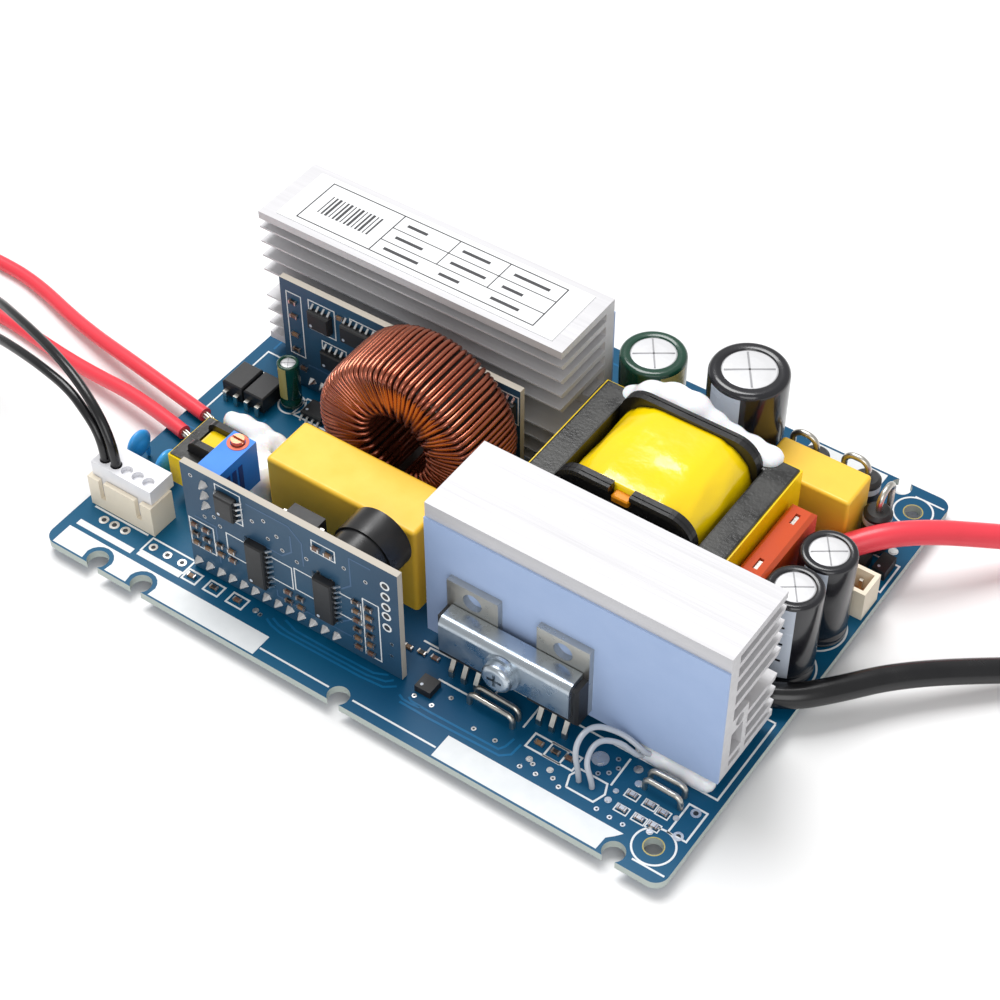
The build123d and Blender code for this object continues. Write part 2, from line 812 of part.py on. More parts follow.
# Blade fuse
def make_fuse():
    head_z = fuse_top - fuse_head
    head = block(fuse_x, fuse_y, head_z, fuse_thickness, fuse_length, fuse_head)
    head = chamfer(head.edges().group_by(Axis.Z)[-1], fuse_bevel)
    skirt_length = fuse_length - 2 * fuse_skirt_inset
    skirt = block(fuse_x + fuse_skirt_inset, fuse_y + fuse_skirt_inset, head_z - fuse_skirt,
                  fuse_thickness - 2 * fuse_skirt_inset, skirt_length, fuse_skirt)
    body = head + skirt
    blades = []
    middle_x = fuse_x + fuse_thickness / 2
    for blade_y in (fuse_y + blade_inset, fuse_y + fuse_length - blade_inset - blade_width):
        blades.append(block(middle_x - blade_thickness / 2, blade_y, 0, blade_thickness, blade_width,
                            head_z - fuse_skirt))
        solder(middle_x, blade_y + blade_width / 2)
        window_y = blade_y + (blade_width - fuse_window_length) / 2
        body -= block(middle_x - fuse_window_width / 2, window_y, fuse_top - fuse_window_depth, fuse_window_width,
                      fuse_window_length, fuse_window_depth)
    return body, blades


# Diodes and disc capacitors
def make_diodes():
    bodies = []
    wires = []
    for x, y, heading in diode_places:
        body_top = diode_lift + diode_length
        body = post(x, y, diode_lift, diode_radius, diode_length)
        bodies.append(chamfer(body.edges().group_by(Axis.Z)[-1], diode_wire_radius))
        loop_top = body_top + diode_loop_rise
        end_x = x + diode_loop_width * cos(radians(heading))
        end_y = y + diode_loop_width * sin(radians(heading))
        loop = ((x, y, body_top), (x, y, loop_top), (end_x, end_y, loop_top), (end_x, end_y, 0))
        wires.append(round_wire(loop, diode_loop_bend, diode_wire_radius))
        wires.append(post(x, y, 0, diode_wire_radius, diode_lift))
        solder(x, y)
        solder(end_x, end_y)
    return bodies, wires


def disc_capacitor(x, y):
    disc = Cylinder(disc_radius, disc_thickness)
    disc = chamfer(disc.edges(), disc_bevel)
    body = Pos(x, y, disc_level) * Rot(0, 90, 0) * disc
    for side in (-1, 1):
        leg_y = y + side * disc_leg_pitch / 2
        body += post(x, leg_y, 0, disc_leg_radius, disc_level)
        solder(x, leg_y)
    return body


# Connectors
def contact_places():
    first = header_x + (header_length - (contacts - 1) * contact_pitch) / 2
    return [first + place * contact_pitch for place in range(contacts)]


def contact_pin(x, y, size, height):
    return block(x - size / 2, y - size / 2, 0, size, size, height)


def make_header():
    middle_y = header_y + header_depth / 2
    body = block(header_x, header_y, 0, header_length, header_depth, header_height)
    body -= block(header_x + header_wall, header_y + header_wall, header_floor, header_length - 2 * header_wall,
                  header_depth - 2 * header_wall, header_height)
    slot_z = header_height - header_slot_depth
    for slot_x in (header_x + header_slot_inset, header_x + header_length - header_slot_inset - header_slot_width):
        body -= block(slot_x, header_y, slot_z, header_slot_width, header_wall, header_slot_depth)
    pins = []
    for x in contact_places():
        pins.append(contact_pin(x, middle_y, pin_size, contact_height))
        solder(x, middle_y)
    return body - pins, pins


def make_plug():
    inset = header_wall + plug_gap
    middle_y = header_y + header_depth / 2
    plug = block(header_x + inset, header_y + inset, header_floor, header_length - 2 * inset,
                 header_depth - 2 * inset, plug_top - header_floor)
    ledge_depth = header_depth - header_wall - plug_gap + plug_back
    plug += block(header_x + plug_ledge, header_y + inset, header_height, header_length - 2 * plug_ledge,
                  ledge_depth, plug_top - header_height)
    for x in contact_places():
        plug -= contact_pin(x, middle_y, pin_size + 2 * contact_gap, contact_height + contact_gap)
        plug -= post(x, middle_y, plug_top - socket_depth, socket_radius, socket_depth)
    return plug


def make_outlet():
    x = board_length - outlet_margin - outlet_length
    body = block(x, outlet_y, 0, outlet_length, outlet_depth, outlet_height)
    body -= block(x + outlet_wall, outlet_y + outlet_wall, outlet_floor, outlet_length - 2 * outlet_wall,
                  outlet_depth - 2 * outlet_wall, outlet_height)
    pins = []
    for side in (-1, 1):
        y = outlet_y + (outlet_depth + side * contact_pitch) / 2
        pins.append(contact_pin(x + outlet_length / 2, y, pin_size, outlet_pin_height))
        solder(x + outlet_length / 2, y)
    return body - pins, pins


# Wires held at both ends
def jumper(start, end):
    for x, y in (start, end):
        solder(x, y)
    points = ((*start, 0), (*start, jumper_rise), (*end, jumper_rise), (*end, 0))
    return round_wire(points, jumper_bend, jumper_radius)


def sensor_lead(x, y):
    solder(x, y)
    end_y = front_bay - front_blob_reach
    end_x = x + sensor_drift
    points = ((x, y, 0), (x, y, sensor_rise), (end_x, end_y - sensor_straight, sensor_level),
              (end_x, end_y, sensor_level))
    return round_wire(points, sensor_bend, sensor_radius)


# Silicone
def make_silicone(choke_pieces):
    right = front_sink_x + front_sink_length - front_blob_from_right
    front_blob = block(right - front_blob_length, front_bay - front_blob_reach, 0, front_blob_length,
                       front_blob_depth, sink_lift)
    start = choke_x + choke_length - choke_blob_cover
    depth = choke_depth - 2 * choke_blob_inset
    choke_blob = block(start, choke_y + choke_blob_inset, choke_top, film_x - start, depth,
                       choke_blob_height - choke_top)
    choke_blob += block(film_x - choke_film_gap + tape_thickness, choke_y + choke_blob_inset, 0,
                        choke_film_gap - tape_thickness, depth, choke_blob_height)
    choke_blob = chamfer(choke_blob.edges().group_by(Axis.Z)[-1], blob_round / 2) - choke_pieces
    back_y = transformer_y + core_depth + tape_thickness
    back_blob = block(back_blob_x, back_y, 0, back_blob_length, back_blob_depth, back_blob_height)
    back_blob = fillet(back_blob.edges().group_by(Axis.Z)[-1], blob_round)
    return [front_blob, choke_blob, back_blob]


# Leads that leave the board
def bend_radii(points):
    # Each arc is as large as its two runs allow.
    radii = []
    for before, here, after in zip(points, points[1:], points[2:]):
        run_in = Vector(here) - Vector(before)
        run_out = Vector(after) - Vector(here)
        half_turn = radians(run_in.get_angle(run_out)) / 2
        radii.append(arc_share * min(run_in.length, run_out.length) / tan(half_turn))
    return radii


def make_lead(name, points, radius):
    radii = bend_radii(points)
    path = FilletPolyline(*points, radius=radii)
    tube = sweep(Plane(origin=path @ 0, z_dir=path % 0) * Circle(radius), path=path)
    expected = Circle(radius).area * path.length
    print(name, "length", round(path.length, 1), "radii", [round(value, 1) for value in radii],
          "volume ratio", round(tube.volume / expected, 4))
    return tube


def bare_tip(start, corner_point, end, lead_radius):
    # Stranded copper from the end of the insulation down to the board.
    solder(end[0], end[1])
    return round_wire((start, corner_point, end), strand_bend, strand_share * lead_radius)


front_pair = (front_sink_x + first_transistor, front_sink_x + first_transistor + transistor_pitch)
left_rear_pair = (rear_sink_x + rear_pair_inset, rear_sink_x + rear_pair_inset + transistor_pitch)
right_rear_end = rear_sink_x + rear_sink_length - rear_pair_inset
right_rear_pair = (right_rear_end - transistor_pitch, right_rear_end)
rear_pairs = (left_rear_pair, right_rear_pair)
front_screws = (sum(front_pair) / 2,)
rear_screws = tuple(sum(pair) / 2 for pair in rear_pairs)

transformer = (transformer_x, transformer_y, core_top, core_length, core_depth, core_thickness)
choke = (choke_x, choke_y, choke_top, choke_length, choke_depth, choke_thickness)
black_cans = ((bulk_x, bulk_y, bulk_radius, bulk_height),
              (input_x, input_y, input_radius, input_height),
              (input_x, input_y + input_pitch, input_radius, input_height))
green_cans = ((output_x, output_y, output_radius, output_height),
              (supply_x, supply_y, supply_radius, supply_height))

nodes = {}
nodes["main_board"] = make_board()
nodes["front_heat_sink"] = [front(make_sink(front_sink_x, front_sink_length, front_screws, at_front))]
nodes["rear_heat_sink"] = [rear(make_sink(rear_sink_x, rear_sink_length, rear_screws, at_rear))]
nodes["front_thermal_pad"] = [front(make_pad(front_sink_x, front_sink_length, front_screws))]
nodes["rear_thermal_pad"] = [rear(make_pad(rear_sink_x, rear_sink_length, rear_screws))]

frames = [front(piece) for x in front_pair for piece in transistor_frame(x, at_front)]
cases = [front(transistor_case(x)) for x in front_pair]
bars = [front(clamp_bar(front_pair))]
for pair in rear_pairs:
    frames += [rear(piece) for x in pair for piece in transistor_frame(x, at_rear)]
    cases += [rear(transistor_case(x)) for x in pair]
    bars.append(rear(clamp_bar(pair)))
nodes["transistor_frames"] = frames
nodes["transistor_bodies"] = cases
nodes["clamp_bars"] = bars
nodes["clamp_screws"] = [front(clamp_screw(x)) for x in front_screws] + [rear(clamp_screw(x)) for x in rear_screws]
nodes["clamp_washers"] = [front(clamp_washer(x)) for x in front_screws] + [rear(clamp_washer(x)) for x in rear_screws]

# Control board
pin_places, pins = card_pins(control_x, control_front, control_pins, first_control_pin)
card = block(control_x, control_front, card_clearance, control_length, card_thickness, control_height)
trimmer, adjuster, trimmer_cones = make_trimmer()
nodes["control_board"] = [card - pins]
cones = [solder_cone(x, control_front, pin_height) for x in pin_places]
nodes["control_board_pins"] = pins + cones + trimmer_cones
nodes["control_board_chips"] = [on_card(chip_body(leads), control_x, control_front, place, height)
                                for place, height, leads in control_chips]
legs = [on_card(lead, control_x, control_front, place, height)
        for place, height, leads in control_chips for lead in chip_leads(leads)]
card_parts = []
for place, height, columns, rows in control_groups:
    for column in range(columns):
        for row in range(rows):
            card_parts.append(on_card(small_part(), control_x, control_front, place + column * group_pitch_x,
                                      height + row * group_pitch_z))
nodes["trimmer_body"] = [trimmer]
nodes["trimmer_screw"] = [adjuster]
nodes["buzzer"] = [make_buzzer()]

# Driver board
pin_places, pins = card_pins(driver_x, driver_y, driver_pins, first_driver_pin)
card = block(driver_x, driver_y, card_clearance, driver_length, card_thickness, driver_height)
nodes["driver_board"] = [card - pins]
nodes["driver_board_pins"] = pins + [solder_cone(x, driver_y, pin_height) for x in pin_places]
quarter = Rot(0, 0, 90)
nodes["driver_board_chips"] = [on_card(quarter * chip_body(leads), driver_x, driver_y, place, height)
                               for place, height, leads in driver_chips]
legs += [on_card(quarter * lead, driver_x, driver_y, place, height)
         for place, height, leads in driver_chips for lead in chip_leads(leads)]
card_parts += [on_card(small_part(), driver_x, driver_y, place, height) for place, height in driver_small_parts]
nodes["card_small_parts"] = card_parts

# Wound parts
nodes["toroid_core"], nodes["toroid_winding"] = [[piece] for piece in make_toroid()]
nodes["transformer_core"] = [ferrite_core(*transformer, core_leg, core_yoke, core_post_radius)]
nodes["transformer_bobbin"] = [coil_bobbin(*transformer, core_leg, core_yoke, core_post_radius, bobbin_rise,
                                           bobbin_round, rail_pins)]
nodes["transformer_winding"] = [coil_winding(*transformer, core_leg, core_yoke, core_post_radius, winding_rise,
                                             winding_round)]
nodes["transformer_tape"] = [core_tape(*transformer)]
nodes["choke_core"] = [ferrite_core(*choke, choke_leg, choke_yoke, choke_post_radius)]
nodes["choke_bobbin"] = [coil_bobbin(*choke, choke_leg, choke_yoke, choke_post_radius, choke_rise, choke_round,
                                     choke_pins)]
nodes["choke_winding"] = [coil_winding(*choke, choke_leg, choke_yoke, choke_post_radius, choke_winding_rise,
                                       choke_round)]
nodes["choke_tape"] = [core_tape(*choke)]

# Capacitors
nodes["large_film_capacitor"] = [film_capacitor(film_x, film_y, film_length, film_depth, film_height, film_round)]
nodes["small_film_capacitor"] = [film_capacitor(small_film_x, small_film_y, small_film_length, small_film_depth,
                                                small_film_height, small_film_round)]
nodes["electrolytic_cans"] = [piece for can in black_cans + green_cans for piece in capacitor_can(*can)]
nodes["black_capacitor_sleeves"] = [capacitor_sleeve(*can) for can in black_cans]
nodes["green_capacitor_sleeves"] = [capacitor_sleeve(*can) for can in green_cans]
nodes["disc_capacitors"] = [disc_capacitor(x, y) for x, y in disc_places]

# Fuse, diodes and isolators
fuse_body, fuse_blades = make_fuse()
nodes["fuse_body"] = [fuse_body]
nodes["fuse_blades"] = fuse_blades
nodes["diode_bodies"], nodes["diode_wires"] = make_diodes()
isolators = []
isolator_legs = []
for count in range(2):
    x = isolator_x + isolator_width / 2 + count * (isolator_width + isolator_gap)
    y = isolator_y + isolator_length / 2
    isolators.append(Pos(x, y, 0) * isolator_body())
    isolator_legs += [Pos(x, y, 0) * leg for leg in isolator_leads()]
    for side in (-1, 1):
        solder(x + side * isolator_lead_pitch / 2, y + isolator_length / 2 + isolator_lead_reach)
        solder(x + side * isolator_lead_pitch / 2, y - isolator_length / 2 - isolator_lead_reach)
card_spot = (control_x, control_front, card_isolator_place, control_height - card_isolator_drop)
isolators.append(behind_card(quarter * isolator_body(), *card_spot))
isolator_legs += [behind_card(quarter * leg, *card_spot) for leg in isolator_leads()]
nodes["optocoupler_bodies"] = isolators
nodes["optocoupler_leads"] = isolator_legs

# Connectors
header, header_pins = make_header()
outlet, outlet_pins = make_outlet()
nodes["connector_header"] = [header]
nodes["connector_plug"] = [make_plug()]
nodes["two_way_header"] = [outlet]
nodes["connector_pins"] = header_pins + outlet_pins

# Flat parts of the main board
square_chip = Box(square_chip_size, square_chip_size, chip_height, align=middle)
board_chips = [Pos(*square_chip_place, 0) * square_chip]
for x, y, leads in board_chip_places:
    board_chips.append(Pos(x, y, 0) * quarter * chip_body(leads))
    legs += [Pos(x, y, 0) * quarter * lead for lead in chip_leads(leads)]
flat_diode = Box(flat_diode_width, flat_diode_length, flat_diode_height, align=middle)
board_chips += [Pos(x, y, 0) * flat_diode for x, y in flat_diode_places]
nodes["board_chips"] = board_chips
nodes["chip_leads"] = legs
nodes["board_small_parts"] = [Pos(x, y, 0) * small_part() for x, y in board_small_parts]

# Wires, silicone and label
nodes["jumper_wires"] = [jumper(start, end) for start, end in jumper_routes]
nodes["sensor_leads"] = [sensor_lead(x, y) for x, y in sensor_places]
choke_pieces = [nodes[name][0] for name in ("choke_core", "choke_bobbin", "choke_winding", "choke_tape")]
nodes["silicone_blobs"] = make_silicone(choke_pieces)
label = block(rear_sink_x + label_inset, rear_sink_y + label_inset / 2, sink_ceiling,
              rear_sink_length - 2 * label_inset, sink_depth - label_inset, label_thickness)
nodes["label_sheet"] = [label]

# Leads
for count, (route, tip) in enumerate(zip(output_routes, output_tips), 1):
    name = f"red_output_lead_{count}"
    nodes[name] = [make_lead(name, route, output_lead_radius), bare_tip(route[0], *tip, output_lead_radius)]
for name, route, tip in zip(("red_input_lead", "black_input_lead"), input_routes, input_tips):
    nodes[name] = [make_lead(name, route, input_lead_radius), bare_tip(route[0], *tip, input_lead_radius)]
socket_floor = plug_top - socket_depth
for count, (x, route) in enumerate(zip(contact_places(), thin_routes), 1):
    start = (x, header_y + header_depth / 2, socket_floor)
    rise = (x, header_y + header_depth / 2, socket_floor + thin_route_rise)
    name = f"thin_black_lead_{count}"
    nodes[name] = [make_lead(name, (start, rise, *route), thin_lead_radius)]

nodes["solder_joints"] = make_solder_joints()

os.makedirs("parts", exist_ok=True)
to_frame = Pos(-board_length / 2, -board_width / 2, board_thickness + joint_height)
for name, pieces in nodes.items():
    solids = [solid for piece in pieces for solid in (to_frame * piece).solids()]
    shape = solids[0] if len(solids) == 1 else Compound(children=solids)
    export_step(shape, f"parts/{name}.step")
print("nodes", len(nodes), "board", round(board_length, 2), round(board_width, 2))
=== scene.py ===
import bmesh
import bpy
import json
import math
from mathutils import Euler, Matrix, Vector, noise


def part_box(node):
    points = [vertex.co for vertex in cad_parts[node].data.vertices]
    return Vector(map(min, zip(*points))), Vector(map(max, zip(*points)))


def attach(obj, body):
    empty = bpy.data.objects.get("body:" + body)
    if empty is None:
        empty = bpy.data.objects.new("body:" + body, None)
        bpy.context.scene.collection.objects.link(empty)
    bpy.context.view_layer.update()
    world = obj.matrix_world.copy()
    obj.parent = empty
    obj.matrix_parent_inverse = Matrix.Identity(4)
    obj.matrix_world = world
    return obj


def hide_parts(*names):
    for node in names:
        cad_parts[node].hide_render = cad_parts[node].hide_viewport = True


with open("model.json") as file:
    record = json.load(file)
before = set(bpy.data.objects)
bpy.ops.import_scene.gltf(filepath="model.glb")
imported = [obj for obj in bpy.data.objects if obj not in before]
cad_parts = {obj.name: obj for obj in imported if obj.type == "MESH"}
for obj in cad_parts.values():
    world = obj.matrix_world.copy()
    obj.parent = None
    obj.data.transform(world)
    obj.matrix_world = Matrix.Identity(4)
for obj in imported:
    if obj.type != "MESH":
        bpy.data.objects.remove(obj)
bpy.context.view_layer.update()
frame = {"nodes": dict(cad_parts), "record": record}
nodes = frame["nodes"]
mm = 0.001

# Places are in millimetres from the front left corner of the board's top face.
boardLow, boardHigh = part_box("main_board")
origin = Vector((boardLow.x, boardLow.y, boardHigh.z))
toFrame = Matrix.Translation(origin) @ Matrix.Scale(mm, 4)


def at(x, y, z):
    return origin + Vector((x, y, z)) * mm


def addObject(name, data):
    made = bpy.data.objects.new(name, data)
    bpy.context.scene.collection.objects.link(made)
    return made


# Camera, floor and lights
cameraValues = {
    "place": (220.2, -172.3, 293.5),
    "tilt": 43.25,
    "heading": 34.96,
    "roll": -0.19,
    "lens": 79.89,
    "sensor": 36,
    "clipStart": 0.02,
}
floorValues = {
    "size": 3.0,
    "color": (0.86, 0.86, 0.86, 1),
    "roughness": 0.6,
}
lightValues = {
    "world": 0.55,
    "key": {"place": (-0.35, 0.25, 1.0), "size": 0.6, "power": 10.5},
    "fill": {"place": (0.5, -0.8, 0.6), "size": 0.7, "power": 4.0},
}


def makeCamera():
    data = bpy.data.cameras.new("camera")
    data.lens = cameraValues["lens"]
    data.sensor_width = cameraValues["sensor"]
    data.clip_start = cameraValues["clipStart"]
    camera = addObject("camera", data)
    turn = Euler((math.radians(cameraValues["tilt"]), 0, math.radians(cameraValues["heading"])))
    roll = Matrix.Rotation(math.radians(cameraValues["roll"]), 4, "Z")
    camera.matrix_world = Matrix.Translation(at(*cameraValues["place"])) @ turn.to_matrix().to_4x4() @ roll
    bpy.context.scene.camera = camera
    bpy.context.scene.view_settings.view_transform = "Standard"


def makeFloor():
    half = floorValues["size"] / 2
    mesh = bpy.data.meshes.new("floor")
    corners = [(-half, -half, 0), (half, -half, 0), (half, half, 0), (-half, half, 0)]
    mesh.from_pydata(corners, [], [(0, 1, 2, 3)])
    material, shader = newMaterial("floor")
    setInputs(shader, {"Base Color": floorValues["color"], "Roughness": floorValues["roughness"]})
    mesh.materials.append(material)
    addObject("floor", mesh)


def makeLights():
    world = bpy.data.worlds.new("studio")
    bpy.context.scene.world = world
    world.use_nodes = True
    setInputs(world.node_tree.nodes["Background"],
              {"Color": (1, 1, 1, 1), "Strength": lightValues["world"]})
    for name in ("key", "fill"):
        values = lightValues[name]
        data = bpy.data.lights.new(name, "AREA")
        data.shape = "SQUARE"
        data.size = values["size"]
        data.energy = values["power"]
        light = addObject(name, data)
        light.location = values["place"]
        light.rotation_euler = (-Vector(values["place"])).to_track_quat("-Z", "Y").to_euler()


# Shared node groups
def newGroup(name, tree, inputs, outputs):
    group = bpy.data.node_groups.new(name, tree)
    for label, kind, value in inputs:
        socket = group.interface.new_socket(label, in_out="INPUT", socket_type="NodeSocket" + kind)
        if value is not None:
            socket.default_value = value
    for label, kind in outputs:
        group.interface.new_socket(label, in_out="OUTPUT", socket_type="NodeSocket" + kind)
    return group, group.nodes.new("NodeGroupInput"), group.nodes.new("NodeGroupOutput")


mottleValues = {
    "noiseLow": 0.3,
    "noiseHigh": 0.7,
    "cloudDetail": 4,
    "grainDetail": 3,
    "bumpDistance": 0.0002,
}


def makeMottleGroup():
    # Two colours, two roughness values and a fine relief, mixed by noise.
    inputs = [("Color", "Color", (0.5, 0.5, 0.5, 1)), ("Second Color", "Color", (0.4, 0.4, 0.4, 1)),
              ("Scale", "Float", 200.0), ("Contrast", "Float", 0.5), ("Roughness", "Float", 0.4),
              ("Second Roughness", "Float", 0.5), ("Relief Scale", "Float", 1500.0),
              ("Relief", "Float", 0.05), ("Stretch", "Vector", (1.0, 1.0, 1.0))]
    outputs = [("Color", "Color"), ("Roughness", "Float"), ("Normal", "Vector")]
    group, start, end = newGroup("mottle", "ShaderNodeTree", inputs, outputs)
    nodeSet, links = group.nodes, group.links
    coordinates = nodeSet.new("ShaderNodeTexCoord")
    stretch = nodeSet.new("ShaderNodeVectorMath")
    stretch.operation = "MULTIPLY"
    links.new(coordinates.outputs["Object"], stretch.inputs[0])
    links.new(start.outputs["Stretch"], stretch.inputs[1])

    def addNoise(scale, detail):
        texture = nodeSet.new("ShaderNodeTexNoise")
        texture.inputs["Detail"].default_value = detail
        links.new(stretch.outputs["Vector"], texture.inputs["Vector"])
        links.new(start.outputs[scale], texture.inputs["Scale"])
        return texture.outputs["Fac"]

    def addRange(source, high, low=None):
        # The middle part of a noise, spread up to one of the group's inputs.
        spread = nodeSet.new("ShaderNodeMapRange")
        setInputs(spread, {"From Min": mottleValues["noiseLow"], "From Max": mottleValues["noiseHigh"]})
        links.new(source, spread.inputs["Value"])
        links.new(start.outputs[high], spread.inputs["To Max"])
        if low:
            links.new(start.outputs[low], spread.inputs["To Min"])
        return spread.outputs["Result"]

    cloud = addNoise("Scale", mottleValues["cloudDetail"])
    mix = nodeSet.new("ShaderNodeMix")
    mix.data_type = "RGBA"
    links.new(addRange(cloud, "Contrast"), mix.inputs["Factor"])
    links.new(start.outputs["Color"], mix.inputs[6])
    links.new(start.outputs["Second Color"], mix.inputs[7])
    bump = nodeSet.new("ShaderNodeBump")
    bump.inputs["Distance"].default_value = mottleValues["bumpDistance"]
    links.new(addNoise("Relief Scale", mottleValues["grainDetail"]), bump.inputs["Height"])
    links.new(start.outputs["Relief"], bump.inputs["Strength"])
    links.new(mix.outputs[2], end.inputs["Color"])
    links.new(addRange(cloud, "Second Roughness", "Roughness"), end.inputs["Roughness"])
    links.new(bump.outputs["Normal"], end.inputs["Normal"])
    return group


def makeRepeatGroup():
    # Sets one sample piece on every point of a mesh.
    inputs = [("Geometry", "Geometry", None), ("Sample", "Object", None),
              ("Size", "Vector", (1.0, 1.0, 1.0)), ("Material", "Material", None)]
    group, start, end = newGroup("repeat", "GeometryNodeTree", inputs, [("Geometry", "Geometry")])
    links = group.links
    sample = group.nodes.new("GeometryNodeObjectInfo")
    spread = group.nodes.new("GeometryNodeInstanceOnPoints")
    realize = group.nodes.new("GeometryNodeRealizeInstances")
    paint = group.nodes.new("GeometryNodeSetMaterial")
    links.new(start.outputs["Sample"], sample.inputs["Object"])
    links.new(start.outputs["Geometry"], spread.inputs["Points"])
    links.new(sample.outputs["Geometry"], spread.inputs["Instance"])
    links.new(start.outputs["Size"], spread.inputs["Scale"])
    links.new(spread.outputs["Instances"], realize.inputs["Geometry"])
    links.new(realize.outputs["Geometry"], paint.inputs["Geometry"])
    links.new(start.outputs["Material"], paint.inputs["Material"])
    links.new(paint.outputs["Geometry"], end.inputs["Geometry"])
    return group


def newMaterial(name):
    material = bpy.data.materials.new(name)
    material.use_nodes = True
    return material, material.node_tree.nodes["Principled BSDF"]


def setInputs(node, values):
    for label, value in values.items():
        node.inputs[label].default_value = value


mottleGroup = makeMottleGroup()
repeatGroup = makeRepeatGroup()


def mottled(name, color, secondColor, roughness=(0.4, 0.5), effect=None, surface=None):
    # A material whose colour, roughness and relief come from the shared group.
    material, shader = newMaterial(name)
    group = material.node_tree.nodes.new("ShaderNodeGroup")
    group.node_tree = mottleGroup
    setInputs(group, {"Color": (*color, 1), "Second Color": (*secondColor, 1), "Roughness": roughness[0],
                      "Second Roughness": roughness[1], **(effect or {})})
    for label, target in (("Color", "Base Color"), ("Roughness", "Roughness"), ("Normal", "Normal")):
        material.node_tree.links.new(group.outputs[label], shader.inputs[target])
    setInputs(shader, surface or {})
    return material


